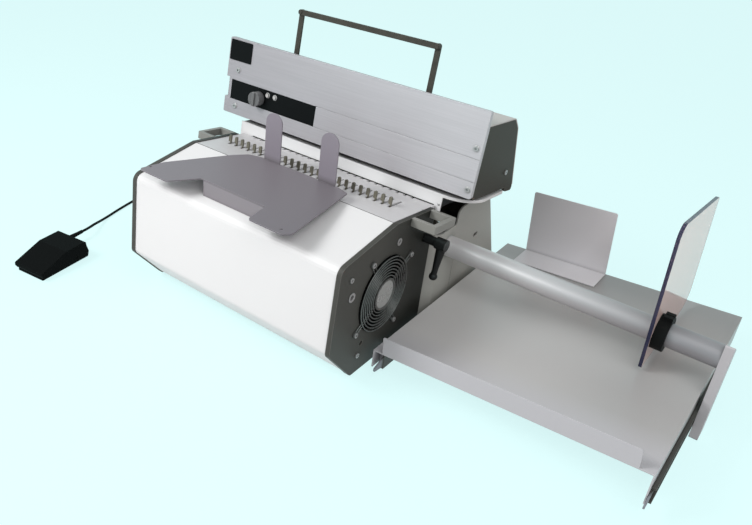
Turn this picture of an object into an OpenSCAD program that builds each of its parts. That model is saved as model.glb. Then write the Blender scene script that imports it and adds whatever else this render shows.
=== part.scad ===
// Electric punch and comb opener for the desk, with a stacker tray at its right and a foot pedal.
// Machine coordinates in millimetres: X to the right, Y to the back, Z up, floor at Z = 0.
// X = 0 is the middle of the front housing and Y = 0 its front face; place() moves the origin
// under the middle of the whole object.

/* [Front housing] */
// Half width over the two end plates
base_half = 216; // [214:1:218]
// Thickness of an end plate
end_t = 8; // [6:1:9]
// Depth of an end plate
base_depth = 262; // [259:1:264]
// Height of the front knee of an end plate
knee_z = 220; // [216:1:224]
// Distance of the knee behind the front face
knee_y = 9; // [6:1:12]
// Height of the lower front corner of an end plate
chin_z = 76; // [66:1:86]
// Distance of the foot behind the front face
foot_y = 64; // [56:1:68]
// Gap between the housing and the floor
floor_gap = 5; // [4:0.5:6]
// Thickness of the sheet metal covers
sheet_t = 2; // [1.5:0.25:2.5]

/* [Table] */
// Backward slope of the comb table and of the head above it
tilt = 7; // [6.5:0.25:7.5]
// Distance of the table's front edge behind the front face
table_y = 148; // [146:1:150]
// Height of the table's front edge
table_z = 241.5; // [239:0.5:244]
// Number of hooks, of slots and of punch pins
hooks = 25; // [19:2:25]
// Pitch of the hooks and of the punched holes
pitch = 14.2875; // [14.2:0.0125:14.3]
// Height of a hook above the table
hook_h = 14; // [10:1:16]
// Backward travel of the hook rake
rake_travel = 25; // [15:1:28]

/* [Head] */
// Left end of the head
head_x0 = -257.4; // [-258:0.2:-256]
// Right end of the head
head_x1 = 267.1; // [266:0.1:268]
// Front face of the head plate, measured up the table's slope
plate_y = 118.3; // [118:0.1:119]
// Thickness of the head plate
plate_t = 8; // [7:0.5:8]
// Height of the head plate's lower edge above the table
plate_z = 31.5; // [31:0.5:33]
// Height of the head plate
plate_h = 140; // [136:1:144]
// Stroke of the punch pins
punch_stroke = 13; // [12:0.5:13]

/* [Bail] */
// Middle of the left bail bar
bail_x0 = -116; // [-120:1:-110]
// Middle of the right bail bar
bail_x1 = 151.5; // [146:0.5:156]
// Distance between the pivots of a bail bar
bail_h = 86.5; // [80:0.5:90]
// Width of a bail bar
bail_w = 9; // [8:0.5:10]

/* [Rear body] */
// Half width over the side panels
rear_half = 222; // [221:0.5:224]
// Farthest point of the rear body
rear_y = 530; // [524:1:536]

/* [Stacker] */
// Distance of the tube behind the front face
tube_y = 322; // [320:1:324]
// Height of the tube's axis
tube_z = 137.5; // [136:0.5:139]
// Radius of the tube
tube_r = 18; // [17:0.25:18]
// Left face of the end post
post_x = 654.5; // [653.5:0.5:655]
// Width of the end post
post_w = 12.5; // [12:0.5:14]
// Left edge of the tray
tray_x = 232.5; // [232.5:0.5:234]
// Right edge of the tray
tray_x1 = 648.5; // [647:0.5:648.5]
// Front edge of the tray
tray_y = 98; // [94:1:102]
// Back edge of the tray
tray_y1 = 572; // [570:1:576]
// Height of the tray's left edge
tray_z = 46; // [45:0.5:48]
// Rise of the tray toward the right
tray_rise = 29.6; // [26:0.2:30]
// Left face of the clear stop
stop_x = 561; // [540:1:570]

/* [Foot pedal] */
// Middle of the pedal, sideways
pedal_x = -380; // [-390:1:-370]
// Middle of the pedal, front to back
pedal_y = -53; // [-60:1:-45]
// Turn of the pedal on the floor
pedal_turn = 7.5; // [5:0.5:10]
// Width of the treadle
pedal_w = 70; // [66:1:74]

/* [Cable] */
// Diameter of the pedal cable
cable_d = 5.2; // [4.6:0.1:5.2]
// Turns in the lower layer of the cable coil
coil_turns = 4; // [3:1:4]

/* [Hidden] */
$fn = 48;

// Colours
white = [0.90, 0.90, 0.90];
pale = [0.76, 0.76, 0.75];
silver = [0.72, 0.72, 0.74];
mauve = [0.52, 0.50, 0.54];
warm_grey = [0.42, 0.41, 0.39];
olive = [0.36, 0.36, 0.32];
steel = [0.48, 0.46, 0.42];
black = [0.07, 0.07, 0.07];

// Small gaps: beside what slides or swings, and round a shaft in its bore
slide_gap = 0.5;
fit_gap = 0.05;
cut = 1;

// Front housing
base_in = base_half - end_t;
floor_t = 4;
floor_top = floor_gap + floor_t;
cover_inset = 1.5;
end_pts = [[foot_y, floor_gap], [base_depth, floor_gap], [base_depth, plane_z(base_depth, 0)],
    [table_y, table_z], [knee_y, knee_z], [0, chin_z]];
end_radii = [10, 6, 4, 14, 16, 12];
plate_screws = [[36, 193], [77, 38]];
rivet_holes = [[159, 207, 4], [42, 161, 5.5]];
blank_hole = [85, 57, 4.5];
plate_holes = concat(rivet_holes, [blank_hole]);
screw_r = 1.9;
screw_hole_r = 2;
screw_head_r = 4.2;
screw_head_h = 2.2;
screw_l = 5;

// Fan in the right end plate
fan_y = 130.5;
fan_z = 127.5;
fan_turn = -13.5;
fan_half = 68;
fan_d = 38;
fan_bore = 64;
fan_ear = 57;
fan_hub = 28;
fan_blades = 7;
fan_spindle_r = 3;
fan_spindle_x = base_in - 8;
guard_t = 2.6;

// Comb table, in the table's own slope: y up the slope, z square to it
hook_mid = -4.75;
table_top = -cover_inset;
table_t = 3;
table_end = 127.5;
hook_y = [55.5, 58.5];
slot_room = [4.5, 8.5];
slot_y = [hook_y[0] - slot_room[0], hook_y[1] + rake_travel + slot_room[1]];
slot_w = 4.2;
notch_half = 2.4;
rake_z = [-12, -5];
guide_y = [129.2, 131.2];

// Die and punch frame, in the table's slope
die_half = 214;
die_y = [131.2, 205];
die_z = [-4, 20.5];
die_ridge = 180;
throat_top = 29.5;
frame_top = 46;
frame_back = 190;
shelf_top = 34;
shelf_back = 262;
pin_y = 150;
pin_t = 3;
pin_w = 8;
pin_gap = 0.2;
pin_bite = 2.5;
pin_l = 31;
pin_tip = die_z[1] - pin_bite + punch_stroke;
pin_z = [pin_tip, pin_tip + pin_l];

// Drive in the head, in the table's slope
shaft_at = [158, 108];
shaft_r = 9;
eccentric_r = 14;
eccentric_throw = 6;
eccentric_x = 150;
eccentric_w = 14;
bearing_x = [-222, 206];
bearing_w = 16;
pulley_x = [236, 250];
pulley_r = 26;
motor_at = [228, 66];
motor_r = 28;
motor_x = [80, 196];
motor_shaft_r = 5;
spindle_x = motor_x[1] - 29;
motor_pulley_r = 14;
belt_t = 3;
belt_gap = 0.4;

// Head shell, in the table's slope
cap_t = 6;
plate_back = plate_y + plate_t;
head_in0 = head_x0 + cap_t;
head_in1 = head_x1 - cap_t;
cap_top = 147;
cap_pts = [[plate_back, 28], [250, 25.5], [256, 17.5], [284, 15.5], [240, 130], [222, cap_top],
    [plate_back, cap_top]];
cap_radii = [2, 0, 2, 5, 16, 14, 2];
cover_top = cap_top + sheet_t + 0.3;
cover_pts = [[282.4, 26], [242, 131.2], [222.9, cover_top], [plate_back, cover_top]];
strip_x = [-244, -46];
strip_z = [plate_z + 27.5, plate_z + 64];
strip_t = 1.5;
knob_at = [-174.5, plate_z + 44.5];
knob_r = 13;
knob_h = 15;
knob_spindle_r = 4;
button_x = [-155, -138];
button_z = plate_z + 55;
button_r = 3.2;
button_travel = 1.5;
head_screws = [[-231, 83], [-230, 16], [257, 80], [259, 14]];
cap_screw = [235, 56];
switch_y = [130, 146];
switch_z = [66, 94];
switch_pin_y = [128, 148];
switch_pin_x = head_x0 + cap_t / 2;
switch_pin_r = 1.5;

// Bail, in the table's slope
bail_z = 155.5;
bail_top_y = [128, 132];
bail_bar_y = [132.4, 136.4];
bail_lug_y = [136.8, 141.5];
bail_pin_r = 2.5;
open_pivot_gap = 0.5;

// Rear body
panel_t = 3;
rear_in = rear_half - panel_t;
panel_front = 266;
panel_low_z = 170;
bend = [15, 26];
shoulder = [343, 199];
shoulder_off = 24;
rear_knee_z = 29;
rear_top_y = 440;
rear_top_z = plane_z(rear_top_y, shoulder_off);
drawer_half = 158;
drawer_y0 = 292;
drawer_top = 67;
wall_y = [283, 287];
inlet_at = [455, 61];
inlet_body = [15, 11];
gland_at = [490, 25];
gland_r = 5;
gland_l = 22;

// Stacker
tray_turn = atan(tray_rise / (tray_x1 - tray_x));
rail_y = [108, 480];
rail_foot_y = 170;
slide_x = [tray_x + 4.5, tray_x + 15.5];
slide_z = [11, 40];
slide_web = 3;
slide_lip = 4;
rail_z = [22, 48];
rail_t = 3;
post_y = [tube_y - 18, tube_y + 18];
post_top = 168;
post_fall = 22;
stop_t = 5;
collar_w = 17;
collar_r = 27;
stop_pts = [[303, 78], [552, 78], [478, 301], [247, 337]];
stop_radii = [4, 26, 8, 16];

// Paper rest
rest_z = 249;
fold_y = 33;
fold_x = [-75, 52];
rest_back = 167;
arm_x = [-46, 68];
arm_w = 34;
arm_top = 336;
rest_pts = [[-174, -14], [-110, -14], [-80, fold_y], [54, fold_y], [62, -15], [126, -15], [135.5, -4],
    [113, 160], [90, rest_back], [-70, rest_back], [-93, 160], [-111, 136], [-165, fold_y]];

// Grip loops beside the table
loop_h = 13;
loop_wall = 8;
left_loop = [254, 50.4, 112.8];
right_loop = [258, 40.3, 107.8];

// Clamp lever
lever_at = [241, 182];
lever_x = [base_half + 0.4, 256];
lever_stud_r = 4;
lever_l = 68.5;

// Foot pedal, in its own frame: front toward -y
pedal_front = -56;
pedal_back = 59;
treadle_wall = 2.7;
pedal_pin = [28, 13];
pedal_pin_r = 2.5;
relief_at = [-22, 18];
relief_y = [51.5, 62, 100];
relief_r = [4.6, 3.2];

// Cable: coil in two layers beside the rear body, on the floor
cable_r = cable_d / 2;
floor_z = cable_r + 0.05;
coil_at = [-300, 440];
coil_gap = 0.6;
coil_step = cable_d + coil_gap;
coil_in = 19.5;
coil_dip = 1.3;
coil_start = 135;
coil_rings = 24;
coil_sides = 6;
tube_sides = 8;
lower_turns = coil_turns;
upper_turns = coil_turns - 0.5;
coil_mid = coil_points();
coil_p = concat([coil_mid[0] - cable_d * first_way(coil_mid)], coil_mid,
    [coil_mid[len(coil_mid) - 1] + cable_d * last_way(coil_mid)]);
coil_from = coil_p[0];
coil_from_way = first_way(coil_mid);
coil_to = coil_p[len(coil_p) - 1];
coil_to_way = last_way(coil_mid);
relief_end = pedal_point([relief_at[0], relief_y[2], relief_at[1]]);
relief_way = [-sin(pedal_turn), cos(pedal_turn), 0];
gland_end = [-rear_half - gland_l, gland_at[0], gland_at[1]];

// Hand-laid points of the cable between the pedal and the coil, and between the coil and the gland
run_pts = concat([relief_end, relief_end + 12 * relief_way],
    [[-424, 72, 15], [-432, 88, 11.5], [-441, 107, 7], [-450, 130, 3.6], [-456, 150, floor_z],
     [-461, 170, floor_z], [-470, 214, floor_z], [-477, 260, floor_z], [-474, 308, floor_z],
     [-456, 350, floor_z], [-426, 384, floor_z], [-392, 410, floor_z]],
    [coil_from - 36 * coil_from_way, coil_from - 18 * coil_from_way, coil_from]);
lead_pts = concat([coil_to, coil_to + 10 * coil_to_way],
    [[-296, 487, 11], [-280, 491, 16], [-266, gland_at[0], 22]],
    [gland_end - [12, 0, 0], gland_end]);

// Whole object: its middle on the floor is the origin
pedal_left = pedal_x - (pedal_w / 2) * cos(pedal_turn) - pedal_back * sin(pedal_turn);
pedal_fore = pedal_y - (pedal_w / 2) * sin(pedal_turn) + pedal_front * cos(pedal_turn);
middle = [(pedal_left + post_x + post_w) / 2, (pedal_fore + tray_y1) / 2, 0];

// Points and outlines

function tl(y, z) = [table_y + y * cos(tilt) + z * sin(tilt), table_z - y * sin(tilt) + z * cos(tilt)];
function plane_z(y, off) = table_z - (y - table_y) * tan(tilt) + off / cos(tilt);
function hook_x(i) = hook_mid + (i - (hooks - 1) / 2) * pitch;
function pedal_point(p) = [pedal_x + p[0] * cos(pedal_turn) - p[1] * sin(pedal_turn),
    pedal_y + p[0] * sin(pedal_turn) + p[1] * cos(pedal_turn), p[2]];
function unit(v) = v / norm(v);

function turned(v, a) = [v[0] * cos(a) - v[1] * sin(a), v[0] * sin(a) + v[1] * cos(a)];

// One corner of an outline rounded to radius r in n steps
function corner(a, b, c, r, n) = r <= 0 ? [b] :
    let (u = unit(a - b), v = unit(c - b), open = acos(u * v), mid = b + unit(u + v) * r / sin(open / 2),
        s = b + u * r / tan(open / 2) - mid, turn = u[0] * v[1] - u[1] * v[0] < 0 ? 180 - open : open - 180)
    [for (i = [0:n]) mid + turned(s, turn * i / n)];
function rounded(pts, r, n = 5) = let (m = len(pts))
    [for (i = [0:m - 1])
        each corner(pts[(i + m - 1) % m], pts[i], pts[(i + 1) % m], is_list(r) ? r[i] : r, n)];
function rounded_path(pts, r, n = 4) = let (m = len(pts))
    [for (i = [0:m - 1])
        each (i == 0 || i == m - 1) ? [pts[i]] : corner(pts[i - 1], pts[i], pts[i + 1], r, n)];

// A path moved to its left by t, and the sheet between a path and its copy on the left
function left_way(a, b) = unit([a[1] - b[1], b[0] - a[0]]);
function beside(path, t) = let (m = len(path))
    [for (i = [0:m - 1])
        let (n1 = left_way(path[max(i - 1, 0)], path[max(i, 1)]),
            n2 = left_way(path[min(i, m - 2)], path[min(i + 1, m - 1)]), w = unit(n1 + n2))
        path[i] + w * t / (w * n1)];
function sheet(path, t) = let (inner = beside(path, t))
    concat(path, [for (i = [len(path) - 1:-1:0]) inner[i]]);

// Height of the front cover's outer face at depth y
function cover_z(y) = let (slope = atan((table_z - knee_z) / (table_y - knee_y)))
    knee_z + (y - knee_y) * tan(slope) - cover_inset / cos(slope);

// Outline of a belt round two pulleys
function arc(c, r, a0, a1, n) = [for (i = [0:n]) let (a = a0 + (a1 - a0) * i / n) c + r * [cos(a), sin(a)]];
function belt(c1, r1, c2, r2) = let (d = c2 - c1, a = atan2(d[1], d[0]), b = acos((r1 - r2) / norm(d)))
    concat(arc(c1, r1, a + b, a + 360 - b, 28), arc(c2, r2, a - b, a + b, 20));

// Coil: in along the lower layer, half a turn up, and out along the upper layer, clockwise
function coil_points() = let (n = coil_rings, up = lower_turns + 0.5, all = up + upper_turns)
    [for (i = [0:round(all * n)])
        let (k = i / n, climb = min(1, max(0, (k - lower_turns) * 2)), a = coil_start - 360 * k,
            spread = coil_step * (k < lower_turns ? lower_turns - k : max(0, k - up)),
            r = coil_in + spread - coil_dip * sin(180 * climb))
        [coil_at[0] + r * cos(a), coil_at[1] + r * sin(a), floor_z + coil_step * climb]];
function first_way(p) = unit(p[1] - p[0]);
function last_way(p) = unit(p[len(p) - 1] - p[len(p) - 2]);
function length(p) = [for (i = [1:len(p) - 1]) norm(p[i] - p[i - 1])] * [for (i = [1:len(p) - 1]) 1];
// Least distance between points at least three quarters of a turn apart along the coil
function least_gap(p) = let (apart = round(0.75 * coil_rings))
    min([for (i = [0:len(p) - 1 - apart], j = [i + apart:len(p) - 1]) norm(p[j] - p[i])]) - cable_d;

// Smooth curve through points, each stretch in k steps
function blend(a, b, c, d, t) = 0.5 * (2 * b + (c - a) * t + (2 * a - 5 * b + 4 * c - d) * t * t
    + (3 * b - a - 3 * c + d) * t * t * t);
function curve(p, k) = let (m = len(p), before = 2 * p[0] - p[1], after = 2 * p[m - 1] - p[m - 2])
    concat([for (i = [0:m - 2], j = [0:k - 1])
        blend(i == 0 ? before : p[i - 1], p[i], p[i + 1], i == m - 2 ? after : p[i + 2], j / k)], [p[m - 1]]);

// Solids

module box(a, b) { translate(a) cube(b - a); }
module prism_x(x0, x1, pts) {
    translate([x0, 0, 0]) rotate([90, 0, 90]) linear_extrude(x1 - x0) polygon(pts);
}
module prism_y(y0, y1, pts) {
    translate([0, y1, 0]) rotate([90, 0, 0]) linear_extrude(y1 - y0) polygon(pts);
}
module prism_z(z0, z1, pts) { translate([0, 0, z0]) linear_extrude(z1 - z0) polygon(pts); }
module rod_x(x0, x1, y, z, r) { translate([x0, y, z]) rotate([0, 90, 0]) cylinder(h = x1 - x0, r = r); }
module rod_y(x, y0, y1, z, r) { translate([x, y0, z]) rotate([-90, 0, 0]) cylinder(h = y1 - y0, r = r); }
module place() { translate(-middle) children(); }
module tilted() { translate([0, table_y, table_z]) rotate([-tilt, 0, 0]) children(); }
module on_tray() { translate([tray_x, 0, tray_z]) rotate([0, -tray_turn, 0]) children(); }
module at_pedal() { translate([pedal_x, pedal_y, 0]) rotate([0, 0, pedal_turn]) children(); }
module at_fan() { translate([0, fan_y, fan_z]) rotate([fan_turn, 0, 0]) children(); }
module fan_corners() {
    for (y = [-fan_ear, fan_ear], z = [-fan_ear, fan_ear]) translate([0, y, z]) children();
}

// A round tube of n sides swept along points, square to the given ways at its two ends
module swept_tube(p, r, n, way0, way1) {
    m = len(p);
    rings = [for (i = [0:m - 1])
        let (t = i == 0 ? way0 : i == m - 1 ? way1 : unit(p[i + 1] - p[i - 1]),
            s = unit(cross(t, [0, 0, 1])), u = cross(s, t))
        each [for (k = [0:n - 1]) p[i] + r * (cos(360 * k / n) * s + sin(360 * k / n) * u)]];
    sides = [for (i = [0:m - 2], k = [0:n - 1]) let (a = i * n + k, b = i * n + (k + 1) % n)
        each [[a, b, a + n], [b, b + n, a + n]]];
    ends = [for (k = [1:n - 2]) each [[0, k + 1, k], [(m - 1) * n, (m - 1) * n + k, (m - 1) * n + k + 1]]];
    polyhedron(rings, concat(sides, ends));
}

// Front housing

module base_plate() {
    front = foot_y + 8;
    inner = rear_half - bend[0] - 1.4 * panel_t;
    right = [[base_in, front], [base_in, base_depth], [inner, base_depth], [inner, panel_front],
        [rear_in, panel_front + bend[1] + 1.2], [rear_in, rear_y - sheet_t]];
    left = [for (i = [len(right) - 1:-1:0]) [-right[i][0], right[i][1]]];
    color(warm_grey) place() prism_z(floor_gap, floor_top, concat(right, left));
}

module rubber_feet() {
    foot_r = 12;
    spots = [[-185, 95], [185, 95], [-195, 480], [195, 480]];
    color(black) place() for (s = spots) translate([s[0], s[1], 0]) cylinder(h = floor_gap, r = foot_r);
}

// An end plate with its ledge for the hook rake, for the right side
module end_plate() {
    ledge = [[38, -17], [112, -17], [112, rake_z[0] - slide_gap], [38, rake_z[0] - slide_gap]];
    ledge_w = 9;
    difference() {
        union() {
            prism_x(base_in, base_half, rounded(end_pts, end_radii));
            tilted() prism_x(base_in - ledge_w, base_in + cut, ledge);
        }
        for (h = plate_holes) rod_x(base_in - cut, base_half + cut, h[0], h[1], h[2]);
        for (s = plate_screws) rod_x(base_in - cut, base_half + cut, s[0], s[1], screw_hole_r);
    }
}

module left_end_plate() { color(warm_grey) place() mirror([1, 0, 0]) end_plate(); }

module right_end_plate() {
    color(warm_grey) place() difference() {
        end_plate();
        rod_x(base_in - cut, base_half + cut, fan_y, fan_z, fan_bore);
        at_fan() fan_corners() rod_x(base_in - cut, base_half + cut, 0, 0, screw_hole_r);
        rod_x(base_in - cut, base_half + cut, lever_at[0], lever_at[1], lever_stud_r + fit_gap);
    }
}

module front_cover() {
    edge_y = foot_y + 8;
    round = 14;
    path = [[table_y, table_z], [knee_y, knee_z], [0, chin_z], [foot_y, floor_gap], [edge_y, floor_gap]];
    outer = beside(rounded_path(path, round), cover_inset);
    color(white) place() prism_x(-base_in, base_in, sheet(outer, sheet_t));
}

module comb_table() {
    seam = 2;
    low = table_top - table_t - cut;
    notch_start = table_end - 6;
    color(pale) place() tilted() difference() {
        box([-base_in, seam, table_top - table_t], [base_in, table_end, table_top]);
        for (i = [0:hooks - 1]) {
            x = hook_x(i);
            box([x - slot_w / 2, slot_y[0], low], [x + slot_w / 2, slot_y[1], cut]);
            box([x - notch_half, notch_start, low], [x + notch_half, table_end + cut, cut]);
        }
    }
}

module hook_rake() {
    stem = 1.2;
    paddle = 4.4;
    neck = 2;
    bar_y = [48, 66];
    half = base_in - 2;
    color(steel) place() tilted() union() {
        box([-half, bar_y[0], rake_z[0]], [half, bar_y[1], rake_z[1]]);
        for (i = [0:hooks - 1]) {
            x = hook_x(i);
            box([x - stem, hook_y[0], rake_z[1] - cut], [x + stem, hook_y[1], neck + cut]);
            outline = [[x - paddle, neck], [x + stem, neck], [x + stem, hook_h], [x - paddle, hook_h]];
            prism_y(hook_y[0], hook_y[1], rounded(outline, [0.5, 0.5, 2.5, 2.5], 4));
        }
    }
}

// The guide strip behind the table, slit along the table and notched at each hook, with a wing under the head
module lower_guide() {
    half = 217;
    low = -14;
    notch_low = -8;
    slit_x = [-187, 205];
    slit_z = [table_top - 1, table_top + 1.3];
    y0 = guide_y[0];
    y1 = guide_y[1];
    wing_t = 5;
    wing_r = 50;
    wing_x = [die_half + slide_gap, rear_half + 1, head_x1];
    wing_y = [226, 250];
    wing = [[wing_x[0], y0], [wing_x[2], y0], [wing_x[2], wing_y[1]], [wing_x[1], wing_y[1]],
        [wing_x[1], wing_y[0]], [wing_x[0], wing_y[0]]];
    color(white) place() tilted() difference() {
        union() {
            box([-half, y0, low], [half, y1, die_z[1]]);
            prism_z(die_z[1] - wing_t, die_z[1], rounded(wing, [0, wing_r, 4, 0, 0, 0], 10));
        }
        for (i = [0:hooks - 1]) {
            x = hook_x(i);
            box([x - notch_half, y0 - cut, notch_low], [x + notch_half, y1 + cut, slit_z[1]]);
        }
        box([slit_x[0], y0 - cut, slit_z[0]], [slit_x[1], y1 + cut, slit_z[1]]);
    }
}

// A grip loop in the table's plane: its outer x, and its first and last y up the slope
module grip_loop(loop) {
    x1 = loop[0];
    y0 = loop[1];
    y1 = loop[2];
    outer = [[base_half, y0], [x1, y0], [x1, y1], [base_half, y1]];
    round = 4;
    tilted() difference() {
        prism_z(-loop_h, 0, rounded(outer, [0, round, round, 0]));
        box([base_half - cut, y0 + loop_wall, -loop_h - cut], [x1 - loop_wall, y1 - loop_wall, cut]);
    }
}

module left_grip_loop() { color(pale) place() mirror([1, 0, 0]) grip_loop(left_loop); }
module right_grip_loop() { color(pale) place() grip_loop(right_loop); }

module paper_rest() {
    t = sheet_t;
    stud = 4;
    stud_y = 159;
    holes = [[-166, 5], [116, -4]];
    hole_r = 2.2;
    arm_round = arm_w / 2 - 0.2;
    radii = [6, 6, 3, 3, 6, 6, 6, 3, 8, 8, 8, 8, 20];
    flap = [[fold_y, cover_z(fold_y)], [fold_y + t, cover_z(fold_y + t)], [fold_y + t, rest_z + t],
        [fold_y, rest_z + t]];
    y0 = stud_y - stud;
    y1 = stud_y + stud;
    top = rest_z + cut;
    prop = [[y0, plane_z(y0, table_top)], [y1, plane_z(y1, table_top)], [y1, top], [y0, top]];
    color(mauve) place() difference() {
        union() {
            prism_z(rest_z, rest_z + t, rounded(rest_pts, radii, 4));
            prism_x(fold_x[0], fold_x[1], flap);
            for (x = arm_x) {
                x0 = x - arm_w / 2;
                x1 = x + arm_w / 2;
                arm = [[x0, rest_z], [x1, rest_z], [x1, arm_top], [x0, arm_top]];
                prism_x(x - stud, x + stud, prop);
                prism_y(rest_back - t, rest_back, rounded(arm, [0, 0, arm_round, arm_round], 10));
            }
        }
        for (h = holes) translate([h[0], h[1], rest_z - cut]) cylinder(h = t + 2 * cut, r = hole_r);
    }
}

module fan_frame() {
    back = base_in - fan_d;
    strut = 4;
    hub_t = 6;
    reach = fan_bore + cut;
    color(black) place() at_fan() difference() {
        union() {
            difference() {
                box([back, -fan_half, -fan_half], [base_in, fan_half, fan_half]);
                rod_x(back - cut, base_in + cut, 0, 0, fan_bore);
            }
            for (a = [0, 90]) rotate([a, 0, 0]) box([back, -reach, -strut], [back + hub_t, reach, strut]);
            rod_x(back, back + hub_t, 0, 0, fan_hub);
            rod_x(back + hub_t - cut, fan_spindle_x, 0, 0, fan_spindle_r);
        }
        fan_corners() rod_x(base_in - screw_l - cut, base_in + cut, 0, 0, screw_hole_r);
    }
}

module fan_rotor() {
    x0 = base_in - fan_d + 7;
    x1 = base_in - 2;
    blade = [2.4, 27, 35];
    blade_angle = 50;
    root = 3;
    color(silver) place() translate([0, fan_y, fan_z]) difference() {
        union() {
            rod_x(x0, x1, 0, 0, fan_hub);
            for (i = [0:fan_blades - 1]) rotate([i * 360 / fan_blades, 0, 0])
                translate([(x0 + x1) / 2, 0, fan_hub - root]) rotate([0, 0, blade_angle])
                    translate([-blade[0] / 2, -blade[1] / 2, 0]) cube(blade);
        }
        rod_x(x0 - cut, fan_spindle_x + slide_gap, 0, 0, fan_spindle_r + fit_gap);
    }
}

module fan_guard() {
    wire = 1.1;
    rings = 7;
    ring_r = [31, 62];
    ring_x = base_half + 3.4;
    spoke_x = base_half + 1.6;
    spoke_gap = 3;
    spoke_r = [24, fan_ear * sqrt(2) - 3];
    ear_r = 5;
    disc_r = 27;
    disc_x = [base_half + 1, base_half + 5];
    dish = [23.5, 0.8];
    color(silver) place() at_fan() union() {
        for (i = [0:rings - 1]) translate([ring_x, 0, 0]) rotate([0, 90, 0]) rotate_extrude()
            translate([ring_r[0] + (ring_r[1] - ring_r[0]) * i / (rings - 1), 0]) circle(wire, $fn = 16);
        for (a = [45:90:315]) rotate([a, 0, 0]) {
            for (s = [-spoke_gap, spoke_gap]) translate([spoke_x, s, spoke_r[0]])
                cylinder(h = spoke_r[1] - spoke_r[0], r = wire, $fn = 16);
            translate([0, 0, fan_ear * sqrt(2)]) difference() {
                rod_x(base_half, base_half + guard_t, 0, 0, ear_r);
                rod_x(base_half - cut, base_half + guard_t + cut, 0, 0, screw_hole_r + slide_gap);
            }
        }
        difference() {
            rod_x(disc_x[0], disc_x[1], 0, 0, disc_r);
            rod_x(disc_x[1] - dish[1], disc_x[1] + cut, 0, 0, dish[0]);
        }
    }
}

// A screw with its head on the face at x = 0, pointing toward -x
module screw_x() {
    socket_r = 2.2;
    socket_l = 1.2;
    difference() {
        union() {
            rod_x(0, screw_head_h, 0, 0, screw_head_r);
            rod_x(-screw_l, cut / 2, 0, 0, screw_r);
        }
        translate([screw_head_h - socket_l, 0, 0]) rotate([0, 90, 0])
            cylinder(h = socket_l + cut, r = socket_r, $fn = 6);
    }
}

// A hollow rivet in a hole of an end plate, given by its y, z and radius
module rivet(h) {
    rim = 2.2;
    rim_t = 1.2;
    wall = 1.2;
    difference() {
        union() {
            rod_x(base_half, base_half + rim_t, h[0], h[1], h[2] + rim);
            rod_x(base_in, base_half + rim_t / 2, h[0], h[1], h[2] - fit_gap);
        }
        rod_x(base_in - cut, base_half + rim_t + cut, h[0], h[1], h[2] - wall);
    }
}

module machine_screws() {
    color(silver) place() union() {
        for (side = [0, 1]) mirror([side, 0, 0]) {
            for (s = plate_screws) translate([base_half, s[0], s[1]]) screw_x();
            for (h = rivet_holes) rivet(h);
        }
        at_fan() fan_corners() translate([base_half + guard_t, 0, 0]) screw_x();
        tilted() {
            for (s = head_screws) translate([s[0], plate_y, plate_z + s[1]]) rotate([0, 0, -90]) screw_x();
            translate([head_x1, cap_screw[0], cap_screw[1]]) screw_x();
            translate([head_x0, cap_screw[0], cap_screw[1]]) mirror([1, 0, 0]) screw_x();
        }
    }
}

module clamp_lever() {
    stem_r = 7.5;
    head_r = 10;
    head_x = 238;
    arm_x = 248;
    lean = 5.5;
    root_r = 8.5;
    neck = [5, 46];
    ball_r = 7;
    handle = concat([[0, 0], [root_r, 0], neck], arc([0, lever_l - ball_r], ball_r, -45, 90, 9));
    color(black) place() translate([0, lever_at[0], lever_at[1]]) union() {
        rod_x(lever_x[0], head_x + cut, 0, 0, stem_r);
        rod_x(head_x, lever_x[1], 0, 0, head_r);
        rod_x(base_in, lever_x[0] + cut, 0, 0, lever_stud_r);
        translate([arm_x, 0, 0]) rotate([0, 180 + lean, 0]) rotate_extrude() polygon(handle);
    }
}

module control_board() {
    x = [-150, -20];
    y = [105, 225];
    z = 20;
    t = 1.6;
    post_r = 3;
    inset = 8;
    blocks = [[-140, 115, 45, 45, 38], [-80, 120, 18, 80, 24], [-50, 120, 20, 30, 16]];
    color([0.10, 0.32, 0.16]) place() union() {
        box([x[0], y[0], z], [x[1], y[1], z + t]);
        for (px = [x[0] + inset, x[1] - inset], py = [y[0] + inset, y[1] - inset])
            translate([px, py, floor_top]) cylinder(h = z - floor_top + t / 2, r = post_r);
        for (b = blocks) translate([b[0], b[1], z + t / 2]) cube([b[2], b[3], b[4]]);
    }
}

// Rear body

module side_panel() {
    step = [35, 43];
    step_y = shoulder[0] + step[1];
    pts = [[panel_front, floor_gap], [rear_y, floor_gap], [rear_y, rear_knee_z], [rear_top_y, rear_top_z],
        [step_y, plane_z(step_y, shoulder_off)], [shoulder[0] + step[0], shoulder[1]], shoulder,
        [shoulder[0], panel_low_z], [panel_front, panel_low_z]];
    plan = [[rear_half - bend[0], panel_front], [rear_half, panel_front + bend[1]],
        [rear_half, rear_y + cut]];
    intersection() {
        prism_x(0, rear_half + cut, rounded(pts, [2, 4, 8, 6, 0, 0, 15, 4, 4]));
        prism_z(0, rear_top_z + cut, sheet(plan, panel_t));
    }
}

module left_side_panel() {
    y = inlet_at[0];
    z = inlet_at[1];
    w = inlet_body[0];
    h = inlet_body[1];
    color(olive) place() difference() {
        mirror([1, 0, 0]) side_panel();
        box([-rear_half - cut, y - w, z - h], [-rear_in + cut, y + w, z + h]);
        rod_x(-rear_half - cut, -rear_in + cut, gland_at[0], gland_at[1], gland_r);
    }
}

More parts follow.
